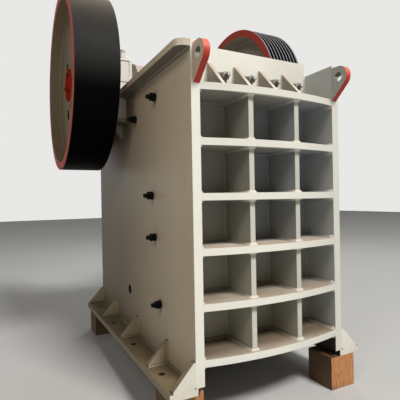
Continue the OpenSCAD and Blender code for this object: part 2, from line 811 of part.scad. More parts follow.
module tension_rod() {
    spring_y = rear_rib_y;
    nut_y = spring_y + 2 * spring_washer_t + spring_l;
    nut_h = 32;
    washer_r = spring_d / 2 + 5;
    color(dark_steel) placed() translate([0, 0, rod_z]) rotate([-90, 0, 0]) union() {
        translate([0, 0, toe_back]) cylinder(h = nut_y + nut_h + 8 - toe_back, d = rod_d);
        for (y = [spring_y, nut_y - spring_washer_t]) translate([0, 0, y])
            cylinder(h = spring_washer_t, r = washer_r);
        translate([0, 0, nut_y]) nut(rod_d * 1.5, nut_h);
    }
}

// Point on the centre line of the spring
function coil_point(a, r, pitch) = [r * cos(a), r * sin(a), pitch * a / 360];

// Spring as one closed helical tube along +Z
module coil(r, wire, pitch, turns) {
    sides = 8;
    steps = 20;
    rings = turns * steps;
    tilt = atan2(pitch, 360 * PI / 180 * r);
    points = [for (i = [0 : rings], k = [0 : sides - 1])
        let(a = i * 360 / steps, b = k * 360 / sides, c = coil_point(a, r, pitch))
        c + wire / 2 * (cos(b) * [cos(a), sin(a), 0] + sin(b) * [sin(tilt) * sin(a), -sin(tilt) * cos(a), cos(tilt)])
    ];
    skin = [for (i = [0 : rings - 1], k = [0 : sides - 1])
        let(n = (k + 1) % sides) [i * sides + k, i * sides + n, (i + 1) * sides + n, (i + 1) * sides + k]];
    first = [for (k = [sides - 1 : -1 : 0]) k];
    last = [for (k = [0 : sides - 1]) rings * sides + k];
    polyhedron(points, concat(skin, [first, last]), convexity = 8);
}

module tension_spring() {
    pitch = (spring_l - spring_wire) / spring_turns;
    start = rear_rib_y + spring_washer_t + spring_wire / 2;
    color(orange_red) placed() translate([0, start, rod_z]) rotate([-90, 0, 0])
        coil((spring_d - spring_wire) / 2, spring_wire, pitch, spring_turns);
}

timber_blocks();
foot_plate(LEFT);  // foot_plate_left
foot_plate(RIGHT);  // foot_plate_right
foot_gussets(LEFT);  // foot_gussets_left
foot_gussets(RIGHT);  // foot_gussets_right
side_plate(LEFT);  // side_plate_left
side_plate(RIGHT);  // side_plate_right
top_flange(LEFT);  // top_flange_left
top_flange(RIGHT);  // top_flange_right
lifting_lug(LEFT);  // lifting_lug_left
lifting_lug(RIGHT);  // lifting_lug_right
front_wall();
front_shelves();
front_ribs();
apron_gussets();
jaw_bolts();
cheek_plate(LEFT);  // cheek_plate_left
cheek_plate(RIGHT);  // cheek_plate_right
cheek_bolts(LEFT);  // cheek_bolts_left
cheek_bolts(RIGHT);  // cheek_bolts_right
fixed_jaw_plate();
swing_jaw();
swing_jaw_plate();
bearing_seat(LEFT);  // bearing_seat_left
bearing_seat(RIGHT);  // bearing_seat_right
bearing_housing(LEFT);  // bearing_housing_left
bearing_housing(RIGHT);  // bearing_housing_right
bearing_cap(LEFT);  // bearing_cap_left
bearing_cap(RIGHT);  // bearing_cap_right
cap_bolts();
bearing_cover(LEFT);  // bearing_cover_left
bearing_cover(RIGHT);  // bearing_cover_right
eccentric_shaft();
flywheel();
belt_wheel();
hub_cover(LEFT);  // hub_cover_left
hub_cover(RIGHT);  // hub_cover_right
toggle_plate();
toggle_seats();
toggle_beam();
rear_wall();
rear_shelves();
rear_ribs();
tension_rod();
tension_spring();
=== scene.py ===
import math
import random

import bpy
from mathutils import Matrix, Vector, noise


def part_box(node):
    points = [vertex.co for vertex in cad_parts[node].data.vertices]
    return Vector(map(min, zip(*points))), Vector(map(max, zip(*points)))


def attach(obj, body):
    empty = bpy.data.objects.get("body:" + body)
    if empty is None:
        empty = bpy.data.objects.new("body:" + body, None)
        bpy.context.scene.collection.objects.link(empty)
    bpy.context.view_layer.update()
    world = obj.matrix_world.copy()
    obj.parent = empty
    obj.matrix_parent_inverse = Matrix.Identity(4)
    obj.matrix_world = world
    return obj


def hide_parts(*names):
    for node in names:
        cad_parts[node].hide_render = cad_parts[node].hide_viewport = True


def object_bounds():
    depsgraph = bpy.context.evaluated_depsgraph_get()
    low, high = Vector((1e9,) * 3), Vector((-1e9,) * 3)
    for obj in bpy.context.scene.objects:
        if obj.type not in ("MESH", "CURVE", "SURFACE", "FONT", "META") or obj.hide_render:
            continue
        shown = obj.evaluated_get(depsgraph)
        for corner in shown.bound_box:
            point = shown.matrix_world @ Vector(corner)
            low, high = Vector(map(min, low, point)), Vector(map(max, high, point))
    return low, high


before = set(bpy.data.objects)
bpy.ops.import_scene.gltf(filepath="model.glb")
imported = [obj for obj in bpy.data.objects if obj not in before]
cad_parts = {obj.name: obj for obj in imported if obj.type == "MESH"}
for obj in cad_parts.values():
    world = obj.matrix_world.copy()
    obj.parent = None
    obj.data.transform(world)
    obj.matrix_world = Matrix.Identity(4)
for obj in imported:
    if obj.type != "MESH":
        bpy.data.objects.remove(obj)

# Lengths are metres. Up is +Z, the ribbed front faces -Y and the belt wheel is on +X.
cad_low, cad_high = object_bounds()
MM = 0.001
LEFT, RIGHT = -1, 1
SIDES = ((LEFT, "left"), (RIGHT, "right"))
X, Y, Z = Vector((1, 0, 0)), Vector((0, 1, 0)), Vector((0, 0, 1))
chance = random.Random(7)


# Sizes that the looks take from the CAD part

def low(name):
    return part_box(name)[0]


def high(name):
    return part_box(name)[1]


FRONT_Y = low("side_plate_left")[1]
BACK_Y = high("side_plate_left")[1]
FOOT_Z = low("foot_plate_left")[2]
FOOT_TOP = high("foot_plate_left")[2]
SIDE_TOP = high("side_plate_left")[2]
HALF_W = high("side_plate_right")[0]
INNER_X = low("side_plate_right")[0]
WALL_Y = low("front_wall")[1]
WHEEL_IN, WHEEL_OUT = low("belt_wheel")[0], high("belt_wheel")[0]
wheel_low, wheel_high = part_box("flywheel")
WHEEL_R = (wheel_high[2] - wheel_low[2]) / 2
SHAFT = (0.0, (wheel_low[1] + wheel_high[1]) / 2, (wheel_low[2] + wheel_high[2]) / 2)
RIM_INNER = WHEEL_R - 76 * MM
WEB_HOLE_R = 345 * MM

SHELF_T, SHELF_PITCH = 48 * MM, 357 * MM
SHELF_TOPS = [low("front_shelves")[2] + SHELF_T + i * SHELF_PITCH for i in range(6)]
RIB_X, RIB_T, RIB_Y = 199.5 * MM, 40 * MM, low("front_ribs")[1]
BOLT_PITCH = 230 * MM
APRON_GUSSET_T, APRON_GUSSET_Y, APRON_GUSSET_TOP = 28 * MM, low("apron_gussets")[1], high("apron_gussets")[2]
FOOT_GUSSET_OUT, FOOT_GUSSET_TOP = high("foot_gussets_right")[0], high("foot_gussets_right")[2]
FOOT_GUSSET_SPOTS = ((0, 40), (452, 32), (1133.5, 32), (1815, 32), (2443, 40))
FOOT_GUSSETS = [(FRONT_Y + y * MM, t * MM) for y, t in FOOT_GUSSET_SPOTS]
CHEEK_BOLT_SPOTS = ((625, 2042), (1108, 1959), (720, 1282), (672, 955), (588, 447))
CHEEK_BOLTS = [(FRONT_Y + y * MM, FOOT_Z + z * MM) for y, z in CHEEK_BOLT_SPOTS]
SIDE_HOLE, SIDE_HOLE_R = (0, FRONT_Y + 1381 * MM, FOOT_Z + 404 * MM), 42 * MM
LUG_EYE, LUG_EYE_R = (0, FRONT_Y - 66 * MM, FOOT_Z + 2160 * MM), 35 * MM
ANCHOR_X, ANCHOR_Y, ANCHOR_PITCH, ANCHOR_R = HALF_W + 112 * MM, FRONT_Y + 305 * MM, 637 * MM, 21 * MM


# Shader nodes

def colour(red, green, blue):
    """Linear colour from the 0 to 255 values of a screen."""
    shares = [value / 255 for value in (red, green, blue)]
    return [((share + 0.055) / 1.055) ** 2.4 if share > 0.04 else share / 12.92 for share in shares] + [1.0]


def fill(tree, node, values):
    """Links or sets the inputs of a node."""
    for key, value in values.items():
        if isinstance(value, bpy.types.NodeSocket):
            tree.links.new(value, node.inputs[key])
        else:
            node.inputs[key].default_value = value


def put(tree, kind, values=(), out=0, **settings):
    """Adds one shader node, fills its inputs and returns one of its outputs."""
    made = tree.nodes.new("ShaderNode" + kind)
    for key, value in settings.items():
        setattr(made, key, value)
    fill(tree, made, dict(values))
    return made.outputs[out]


def calc(tree, operation, *values):
    return put(tree, "Math", dict(enumerate(values)), operation=operation)


def times(tree, first, *others):
    for other in others:
        first = calc(tree, "MULTIPLY", first, other)
    return first


def larger(tree, first, *others):
    for other in others:
        first = calc(tree, "MAXIMUM", first, other)
    return first


def vector_calc(tree, operation, *values, out="Vector"):
    return put(tree, "VectorMath", dict(enumerate(values)), out, operation=operation)


def scaled(tree, vector, factor):
    return put(tree, "VectorMath", {0: vector, "Scale": factor}, operation="SCALE")


def fade(tree, value, first, last, start=0.0, end=1.0):
    """Smooth step from start to end while the value goes from first to last."""
    values = {"Value": value, "From Min": first, "From Max": last, "To Min": start, "To Max": end}
    return put(tree, "MapRange", values, interpolation_type="SMOOTHSTEP")


def mix(tree, factor, first, second):
    return put(tree, "Mix", {0: factor, 6: first, 7: second}, 2, data_type="RGBA")


def place(tree):
    """Place on the object in metres."""
    return put(tree, "TexCoord", out="Object")


def axis(tree, vector, letter):
    return put(tree, "SeparateXYZ", {0: vector}, letter)


def world_normal(tree, letter):
    return axis(tree, put(tree, "NewGeometry", out="Normal"), letter)


def by_place(tree, letter, first, last, start=0.0, end=1.0):
    """Smooth step along one direction of the object."""
    return fade(tree, axis(tree, place(tree), letter), first, last, start, end)


def by_normal(tree, letter, first, last, start=0.0, end=1.0):
    """Smooth step by how squarely a face looks along one direction."""
    return fade(tree, world_normal(tree, letter), first, last, start, end)


def by_facing(tree, letter, first, last):
    """The same for faces that look either way along that direction."""
    return fade(tree, calc(tree, "ABSOLUTE", world_normal(tree, letter)), first, last)


def across(tree):
    """Distance from the middle plane of the machine."""
    return calc(tree, "ABSOLUTE", axis(tree, place(tree), "X"))


def from_line(tree, point):
    """Vector from the line along X through a point."""
    return vector_calc(tree, "MULTIPLY", vector_calc(tree, "SUBTRACT", place(tree), point), (0, 1, 1))


def length(tree, vector):
    return vector_calc(tree, "LENGTH", vector, out="Value")


def bore(tree, distance, radius, margin):
    """Mask of a bore's wall, from the distance to its middle line."""
    return fade(tree, distance, radius + margin, radius + 0.5 * MM)


def cloud(tree, scale, detail=4.0, roughness=0.55, stretch=None, vector=None):
    vector = vector or place(tree)
    if stretch:
        vector = vector_calc(tree, "MULTIPLY", vector, stretch)
    values = {"Vector": vector, "Scale": scale, "Detail": detail, "Roughness": roughness}
    return put(tree, "TexNoise", values, "Fac")


def new_group(name, **inputs):
    """An empty node group: its tree, its inputs and a function that adds its outputs.

    One number makes a float input, three make a vector and four make a colour.
    """
    tree = bpy.data.node_groups.new(name, "ShaderNodeTree")
    for label, value in inputs.items():
        kind = "Float" if isinstance(value, float) else {3: "Vector", 4: "Color"}[len(value)]
        socket = tree.interface.new_socket(label, in_out="INPUT", socket_type="NodeSocket" + kind)
        socket.default_value = value

    def close(**results):
        for label in results:
            kind = "Color" if label == "Colour" else "Float"
            tree.interface.new_socket(label, in_out="OUTPUT", socket_type="NodeSocket" + kind)
        fill(tree, tree.nodes.new("NodeGroupOutput"), results)
        return tree

    return tree, tree.nodes.new("NodeGroupInput").outputs, close


def use(tree, group, out=0, **values):
    """Places a node group in a material and returns one of its outputs."""
    made = tree.nodes.new("ShaderNodeGroup")
    made.node_tree = group
    fill(tree, made, values)
    return made.outputs[out]


def make_edge_wear():
    """Mask along outer edges, broken up by noise."""
    tree, entry, close = new_group("edge_wear", Width=0.006, Share=0.4)
    rounded = put(tree, "Bevel", {"Radius": entry["Width"]}, samples=6)
    flat = put(tree, "NewGeometry", out="Normal")
    turn = calc(tree, "SUBTRACT", 1.0, vector_calc(tree, "DOT_PRODUCT", rounded, flat, out="Value"))
    limit = calc(tree, "SUBTRACT", 0.85, entry["Share"])
    broken = fade(tree, cloud(tree, 9.0, 6.0, 0.7), limit, calc(tree, "ADD", limit, 0.12))
    return close(Mask=times(tree, fade(tree, turn, 0.02, 0.12), broken))


def make_top_dust():
    """Mask of the dust that lies on faces that look up."""
    tree, entry, close = new_group("top_dust", Amount=0.7, Scale=6.0)
    drifts = cloud(tree, 1.0, 6.0, 0.6, vector=scaled(tree, place(tree), entry["Scale"]))
    lies = times(tree, by_normal(tree, "Z", 0.45, 0.95), fade(tree, drifts, 0.25, 0.65, 0.55, 1.0))
    return close(Mask=times(tree, lies, entry["Amount"]))


def make_corner_dirt():
    """Mask of the dirt that gathers in corners and along welds."""
    tree, entry, close = new_group("corner_dirt", Reach=0.05, Amount=0.5)
    open_share = put(tree, "AmbientOcclusion", {"Distance": entry["Reach"]}, "AO", samples=4)
    broken = fade(tree, cloud(tree, 14.0, 5.0, 0.65), 0.3, 0.6, 0.45, 1.0)
    return close(Mask=times(tree, fade(tree, open_share, 0.8, 0.3), broken, entry["Amount"]))


def make_low_grime():
    """Mask of dirt that is densest at the floor and fades out upwards."""
    tree, entry, close = new_group("low_grime", Height=0.8)
    ragged = times(tree, cloud(tree, 3.0, 5.0, 0.65), 0.5)
    edge = calc(tree, "ADD", axis(tree, place(tree), "Z"), ragged)
    return close(Mask=fade(tree, edge, calc(tree, "ADD", entry["Height"], 0.3), 0.2))


def make_mottle():
    """A colour that drifts lighter and darker in large and small patches."""
    tree, entry, close = new_group("mottle", Colour=(0.5, 0.5, 0.5, 1.0), Change=0.1, Scale=4.0)
    vector = scaled(tree, place(tree), entry["Scale"])
    large = times(tree, cloud(tree, 0.5, 3.0, vector=vector), 0.65)
    small = times(tree, cloud(tree, 6.0, 6.0, 0.7, vector=vector), 0.35)
    drift = calc(tree, "SUBTRACT", calc(tree, "ADD", large, small), 0.5)
    factor = calc(tree, "ADD", 1.0, times(tree, drift, times(tree, entry["Change"], 4.0)))
    return close(Colour=scaled(tree, entry["Colour"], factor))


def make_runs():
    """Mask of thin dirt runs down upright faces."""
    tree, entry, close = new_group("runs", Share=0.3)
    fine = cloud(tree, 26.0, 3.0, 0.5, (1, 1, 0.05))
    patches = times(tree, cloud(tree, 2.2, 4.0, 0.6), 0.45)
    limit = calc(tree, "SUBTRACT", 0.9, entry["Share"])
    lines = fade(tree, calc(tree, "MULTIPLY_ADD", fine, 0.6, patches), limit, calc(tree, "ADD", limit, 0.18))
    return close(Mask=times(tree, lines, by_facing(tree, "Z", 0.6, 0.2)))


def make_mark_below():
    """Mask of a dark mark that starts under a bolt and tapers out downwards."""
    tree, entry, close = new_group("mark_below", Start=(0, 0, 0), Width=0.01, Length=0.12)
    away = vector_calc(tree, "SUBTRACT", entry["Start"], place(tree))
    share = calc(tree, "DIVIDE", axis(tree, away, "Z"), entry["Length"])
    wobble = times(tree, calc(tree, "SUBTRACT", cloud(tree, 22.0, 2.0), 0.5), 0.012)
    reach = times(tree, entry["Width"], calc(tree, "SUBTRACT", 1.15, share))
    side = calc(tree, "ABSOLUTE", calc(tree, "ADD", axis(tree, away, "Y"), wobble))
    inside = fade(tree, calc(tree, "DIVIDE", side, larger(tree, reach, 0.0005)), 1.1, 0.3)
    return close(Mask=times(tree, inside, fade(tree, share, -0.35, -0.3), fade(tree, share, 1.0, 0.1)))


def make_sprayed_skin():
    """Height of sprayed enamel over rolled plate."""
    tree, entry, close = new_group("sprayed_skin", Peel=0.5, Waves=0.5)
    peel = times(tree, cloud(tree, 160.0, 3.0, 0.5), entry["Peel"])
    return close(Height=calc(tree, "MULTIPLY_ADD", cloud(tree, 5.0, 3.0, 0.5), entry["Waves"], peel))


def make_flame_cut():
    """Height of the fine ridges that cutting leaves across the thickness of a plate."""
    tree, entry, close = new_group("flame_cut", Depth=1.0)
    ridges = cloud(tree, 170.0, 2.0, 0.5, (0.06, 1, 1))
    return close(Height=times(tree, ridges, by_facing(tree, "X", 0.7, 0.4), entry["Depth"]))


def make_cast_skin():
    """Height of a sand-cast surface."""
    tree, entry, close = new_group("cast_skin", Grain=1.0)
    lumps = cloud(tree, 24.0, 4.0, 0.6)
    return close(Height=calc(tree, "MULTIPLY_ADD", cloud(tree, 220.0, 5.0, 0.7), entry["Grain"], lumps))


def make_turned_lines():
    """Height of fine lathe lines round an axis along X, and the distance from that axis."""
    tree, entry, close = new_group("turned_lines", Axis=(0, 0, 0), Pitch=0.004)
    radius = length(tree, from_line(tree, entry["Axis"]))
    both = calc(tree, "DIVIDE", calc(tree, "ADD", radius, axis(tree, place(tree), "X")), entry["Pitch"])
    lines = calc(tree, "SINE", times(tree, both, 2 * math.pi))
    return close(Height=times(tree, lines, cloud(tree, 14.0, 3.0)), Radius=radius)


def make_rust():
    """Rust colour and the mask of its spots."""
    tree, entry, close = new_group("rust", Share=0.2, Scale=30.0)
    vector = scaled(tree, place(tree), entry["Scale"])
    spots = cloud(tree, 1.0, 8.0, 0.7, vector=vector)
    limit = calc(tree, "SUBTRACT", 0.8, entry["Share"])
    tone = fade(tree, cloud(tree, 2.5, 4.0, vector=vector), 0.35, 0.65)
    return close(Colour=mix(tree, tone, colour(82, 42, 22), colour(158, 84, 38)),
                 Mask=fade(tree, spots, limit, calc(tree, "ADD", limit, 0.1)))


def make_pocket_shade():
    """Mask of painted shade in the pockets of the front grid: the whole wall, and part of what looks sideways
    or down.

    Start is the distance over which it sets in behind the front edges.
    """
    tree, entry, close = new_group("pocket_shade", Sides=0.6, Start=0.01)
    deep = by_place(tree, "Y", WALL_Y - 0.24, WALL_Y - 0.01, 0.0, 0.8)
    edge = FRONT_Y - 0.035
    behind = by_place(tree, "Y", edge, calc(tree, "ADD", entry["Start"], edge))
    turned = times(tree, by_facing(tree, "Y", 0.75, 0.4), by_normal(tree, "Z", 0.96, 0.7), behind)
    turned = times(tree, turned, entry["Sides"])
    below_top = by_place(tree, "Z", SHELF_TOPS[5] - 0.012, SHELF_TOPS[5] - 0.03)
    return close(Mask=times(tree, larger(tree, deep, turned), below_top))


def make_underside():
    """Mask of painted shade on faces that look down."""
    tree, entry, close = new_group("underside", Amount=0.8)
    return close(Mask=times(tree, by_normal(tree, "Z", -0.4, -0.8), entry["Amount"]))


EDGE_WEAR = make_edge_wear()
TOP_DUST = make_top_dust()
CORNER_DIRT = make_corner_dirt()
LOW_GRIME = make_low_grime()
MOTTLE = make_mottle()
RUNS = make_runs()
MARK_BELOW = make_mark_below()
SPRAYED_SKIN = make_sprayed_skin()
FLAME_CUT = make_flame_cut()
CAST_SKIN = make_cast_skin()
TURNED_LINES = make_turned_lines()
RUST = make_rust()
POCKET_SHADE = make_pocket_shade()
UNDER_SHADE = make_underside()


# Materials

CREAM = colour(225, 223, 211)
DUST = colour(176, 154, 134)
# Dust on the treads, also standing in for their painted sheen.
TREAD_DUST_AND_SHEEN = colour(168, 154, 136)
# Brown dust on the feet, darkened to stand in for shade.
FOOT_DUST_AND_SHADE = colour(116, 98, 72)
# Brown dirt, also used for painted shade on the low shelves.
DIRT_AND_SHADE = colour(92, 76, 56)
# Tones of the painted shade in the pockets: grey on the left, bluer on the right, lighter low down.
POCKET_SHADE_GREY = colour(117, 119, 110)
POCKET_SHADE_BLUE = colour(124, 134, 147)
POCKET_SHADE_LOW = colour(164, 160, 144)
# Near black: dark grime, and painted shade in holes, underneath and inside.
GRIME_AND_SHADE = colour(44, 40, 35)
BARE = colour(122, 114, 106)
SATIN_GLOSS, WHEEL_GLOSS, NUT_GLOSS = 0.25, 0.02, 0.12
PANEL_AGE = {"dust": 0.5, "wear": 0.12, "grime": 0.1, "runs": 0.1, "corners": 0.2}
BACK_AGE = {"dust": 0.6, "wear": 0.25, "grime": 0.4, "runs": 0.3, "corners": 0.4}
COVER_AGE = {"dust": 0.0, "wear": 0.3, "grime": 0.0, "runs": 0.0, "corners": 0.3}


def new_material(name):
    material = bpy.data.materials.new(name)
    material.use_nodes = True
    return material, material.node_tree


def finish(material, base, roughness, height, depth, rounding=3 * MM, gloss=0.5, metallic=0.0):
    """Closes a material: colour, roughness, rounded edges and bump on one Principled shader."""
    tree = material.node_tree
    rounded = put(tree, "Bevel", {"Radius": rounding}, samples=4)
    bump = put(tree, "Bump", {"Height": height, "Normal": rounded, "Strength": 1.0, "Distance": depth})
    shader = tree.nodes["Principled BSDF"]
    shader.inputs["Specular IOR Level"].default_value = gloss
    fill(tree, shader, {"Base Color": base, "Roughness": roughness, "Normal": bump, "Metallic": metallic})
    return material


def finish_enamel(material, tone, rough, gloss=SATIN_GLOSS, peel=0.25):
    height = use(material.node_tree, SPRAYED_SKIN, Peel=peel, Waves=1.0)
    return finish(material, tone, rough, height, 1.2 * MM, gloss=gloss)


def aged_paint(tree, paint, dust, wear, grime, runs, corners, change=0.04, powder_tone=DUST):
    """Colour and roughness of enamel with dust, runs, floor dirt, dirty corners and chipped edges."""
    tone = use(tree, MOTTLE, Colour=paint, Change=change, Scale=3.0)
    tone = mix(tree, times(tree, use(tree, RUNS, Share=runs), 0.35), tone, DIRT_AND_SHADE)
    tone = mix(tree, times(tree, use(tree, LOW_GRIME, Height=0.35), grime), tone, DIRT_AND_SHADE)
    tone = mix(tree, use(tree, CORNER_DIRT, Amount=corners), tone, DIRT_AND_SHADE)
    bared = mix(tree, use(tree, RUST, "Mask", Share=0.35, Scale=40.0), BARE, use(tree, RUST, "Colour"))
    tone = mix(tree, use(tree, EDGE_WEAR, Width=0.006, Share=wear), tone, bared)
    powder = use(tree, TOP_DUST, Amount=dust, Scale=5.0)
    satin = calc(tree, "MULTIPLY_ADD", cloud(tree, 12.0), 0.12, 0.38)
    return mix(tree, powder, tone, powder_tone), calc(tree, "MULTIPLY_ADD", powder, 0.35, satin)


def shade_right_and_up(tree, paint, upper):
    """The paint, a little greyer toward the right side and, by the share upper, toward the top, as painted
    shade.
    """
    both = larger(tree, by_place(tree, "X", -0.2, HALF_W), by_place(tree, "Z", 1.0, 2.6, 0.0, upper))
    return mix(tree, both, paint, [0.8 * c for c in paint[:3]] + [1.0])


def make_cream(name, paint=CREAM, gloss=SATIN_GLOSS, **age):
    """Plain enamel with its own amount of age."""
    material, tree = new_material(name)
    return finish_enamel(material, *aged_paint(tree, paint, **age), gloss)


def make_front_paint(name, sides, upper, start=0.01, paint=CREAM, **age):
    """Cream enamel of the ribbed front, a little darker to the right and up as painted shade, with painted
    shade in the pockets and on the low shelves toward the wall.
    """
    material, tree = new_material(name)
    tone, rough = aged_paint(tree, shade_right_and_up(tree, paint, upper), **age)
    # Painted shade in the pockets, grey on the left, bluer on the right and lighter low down.
    grey = mix(tree, by_place(tree, "X", -RIB_X, RIB_X), POCKET_SHADE_GREY, POCKET_SHADE_BLUE)
    dirt = mix(tree, by_place(tree, "Z", 0.5, 1.7), POCKET_SHADE_LOW, grey)
    tone = mix(tree, use(tree, POCKET_SHADE, Sides=sides, Start=start), tone, dirt)
    # Painted shade on the low shelves toward the wall.
    low_shelf_shade = times(tree, by_place(tree, "Y", WALL_Y - 0.42, WALL_Y - 0.2), by_normal(tree, "Z", 0.5, 0.9),
                  by_place(tree, "Z", SHELF_TOPS[2], SHELF_TOPS[0], 0.0, 0.85))
    return finish_enamel(material, mix(tree, low_shelf_shade, tone, DIRT_AND_SHADE), rough)


def make_gusset_paint():
    """Gussets above the top shelf: cheeks in a darker grey as painted shade, and dusty sloping edges."""
    material, tree = new_material("gusset_paint")
    # Painted shade: the cheeks darker grey than the cream edges.
    paint = mix(tree, by_facing(tree, "X", 0.5, 0.8), CREAM, colour(146, 141, 128))
    tone, rough = aged_paint(tree, paint, dust=0.0, wear=0.2, grime=0.0, runs=0.1, corners=0.3)
    dusty_z = APRON_GUSSET_TOP - 0.06
    dusty = by_place(tree, "Z", dusty_z - 0.12, dusty_z, 0.25, 0.85)
    dusty = times(tree, dusty, by_normal(tree, "Z", 0.3, 0.6))
    return finish_enamel(material, mix(tree, dusty, tone, DUST), rough)


def make_foot_paint():
    """Cream paint of the feet under brown dust, with painted shade behind the front and on faces that don't
    look forward, and dark as painted shade in the anchor holes, underneath and inside.
    """
    material, tree = new_material("foot_paint")
    # Painted shade on faces behind the front edge and on faces that don't look forward; those that don't look
    # forward are darker.
    behind = by_place(tree, "Y", FRONT_Y + 0.1, FRONT_Y + 0.2)
    shaded = larger(tree, by_normal(tree, "Y", -0.7, -0.4), behind)
    dull = mix(tree, by_normal(tree, "Y", -0.4, -0.8), colour(140, 130, 104), colour(188, 174, 146))
    paint = mix(tree, shaded, colour(216, 211, 198), dull)
    tone, rough = aged_paint(tree, paint, dust=0.85, wear=0.2, grime=0.35, runs=0.3, corners=0.6,
                             powder_tone=FOOT_DUST_AND_SHADE)
    # Painted shade toward the back on shaded faces that look up.
    rear_shade = times(tree, by_place(tree, "Y", FRONT_Y + 0.2, 0.5, 0.3, 0.62),
                     by_normal(tree, "Z", 0.3, 0.7, 0.35, 1.0), shaded)
    tone = mix(tree, rear_shade, tone, colour(84, 72, 53))
    # Painted shade in the anchor holes, at the inner edge and on faces that look down.
    from_first = calc(tree, "ADD", axis(tree, place(tree), "Y"), ANCHOR_PITCH - ANCHOR_Y)
    along = calc(tree, "PINGPONG", from_first, ANCHOR_PITCH / 2)
    to_hole = put(tree, "CombineXYZ", {"X": calc(tree, "SUBTRACT", across(tree), ANCHOR_X), "Y": along})
    inner_edge = fade(tree, across(tree), HALF_W - 12 * MM, HALF_W - 18 * MM)
    dark = larger(tree, bore(tree, length(tree, to_hole), ANCHOR_R, 3.5 * MM), inner_edge,
                  use(tree, UNDER_SHADE, Amount=0.9))
    return finish_enamel(material, mix(tree, dark, tone, GRIME_AND_SHADE), rough)


def make_side_paint(name, edges=CREAM):
    """Cream paint of the side plates, dustier than the front; faces that look sideways take a warmer, darker
    tone, partly dust and partly painted shade, with a dark tapering mark below each cheek bolt.
    """
    material, tree = new_material(name)
    sideways = by_facing(tree, "X", 0.5, 0.8)
    # Faces that look sideways take a warmer, darker tone: partly dust, partly painted shade.
    paint = mix(tree, sideways, shade_right_and_up(tree, edges, 0.3), colour(198, 182, 157))
    tone, rough = aged_paint(tree, paint, dust=0.5, wear=0.2, grime=0.5, runs=0.28, corners=0.5)
    # Painted shade: the faces that look sideways darker toward the back.
    rear_shade = times(tree, sideways, by_place(tree, "Y", FRONT_Y, 0.5, 0.0, 0.78))
    tone = mix(tree, rear_shade, tone, colour(88, 78, 62))
    # Painted shade on the inner faces: a cool grey, and near black behind the wall and below the lowest
    # shelf.
    lowest = SHELF_TOPS[0] - SHELF_T
    hidden = larger(tree, by_place(tree, "Y", WALL_Y, WALL_Y + 0.02),
                    by_place(tree, "Z", lowest + 0.01, lowest - 0.01))
    inner_face = times(tree, sideways, fade(tree, across(tree), INNER_X + 12 * MM, INNER_X + 4 * MM))
    tone = mix(tree, inner_face, tone, mix(tree, hidden, colour(182, 187, 186), GRIME_AND_SHADE))
    # Painted shade on faces that look down and in the bore of the side hole.
    tone = mix(tree, use(tree, UNDER_SHADE, Amount=0.75), tone, GRIME_AND_SHADE)
    hole = bore(tree, length(tree, from_line(tree, SIDE_HOLE)), SIDE_HOLE_R, 2.5 * MM)
    tone = mix(tree, hole, tone, GRIME_AND_SHADE)
    # A dark tapering mark below each cheek bolt, on the outer faces.
    marks = [use(tree, MARK_BELOW, Start=(0, y, z - 26 * MM), Width=11 * MM, Length=110 * MM)
             for y, z in CHEEK_BOLTS]
    outside = fade(tree, across(tree), INNER_X + 40 * MM, INNER_X + 50 * MM)
    tone = mix(tree, times(tree, larger(tree, *marks), outside, 0.8), tone, colour(46, 33, 24))
    height = calc(tree, "ADD", use(tree, SPRAYED_SKIN, Peel=0.25, Waves=1.4), use(tree, FLAME_CUT, Depth=0.6))
    return finish(material, tone, rough, height, 1.4 * MM, gloss=SATIN_GLOSS)


def make_rear_paint():
    """Cream paint of the rear wall, dark where it looks into the machine, with painted shade on faces that
    look down.
    """
    material, tree = new_material("rear_paint")
    tone, rough = aged_paint(tree, CREAM, **BACK_AGE)
    # Dark where it looks into the machine; painted shade where it looks down.
    tone = mix(tree, by_normal(tree, "Y", -0.4, -0.8, 0.0, 0.9), tone, GRIME_AND_SHADE)
    return finish_enamel(material, mix(tree, use(tree, UNDER_SHADE, Amount=0.75), tone, GRIME_AND_SHADE), rough)


def make_lug_paint():
    """Cream cheeks as darker copies for painted shade, an eye bore with painted shade and light, and an
    orange-red rim, lighter where it looks up with dust and painted highlight.
    """
    material, tree = new_material("lug_paint")
    turn = calc(tree, "ABSOLUTE", world_normal(tree, "X"))
    is_cheek = fade(tree, calc(tree, "MULTIPLY_ADD", cloud(tree, 30.0), 0.25, turn), 0.6, 0.7)
    inward = fade(tree, across(tree), INNER_X + 4 * MM, INNER_X + 1 * MM)
    # Cheeks in darker copies of the cream as painted shade, warm outside and cool grey inside.
    cheek = mix(tree, inward, colour(192, 174, 150), colour(168, 170, 166))
    # Rim lighter and pinker where it looks up: partly dust, partly painted highlight.
    rim = mix(tree, by_normal(tree, "Z", -0.3, 0.5), colour(184, 60, 46), colour(214, 104, 84))
    # Eye bore: painted shade where it looks down, painted light near white where it looks up.
    eye_shade_and_light = mix(tree, by_normal(tree, "Z", -0.5, 0.0), colour(96, 92, 86), colour(246, 244, 238))
    in_eye = bore(tree, length(tree, from_line(tree, LUG_EYE)), LUG_EYE_R, 1.5 * MM)
    paint = mix(tree, in_eye, mix(tree, is_cheek, rim, cheek), eye_shade_and_light)
    tone, rough = aged_paint(tree, paint, dust=0.0, wear=0.2, grime=0.0, runs=0.15, corners=0.3)
    return finish_enamel(material, tone, rough, peel=0.3)


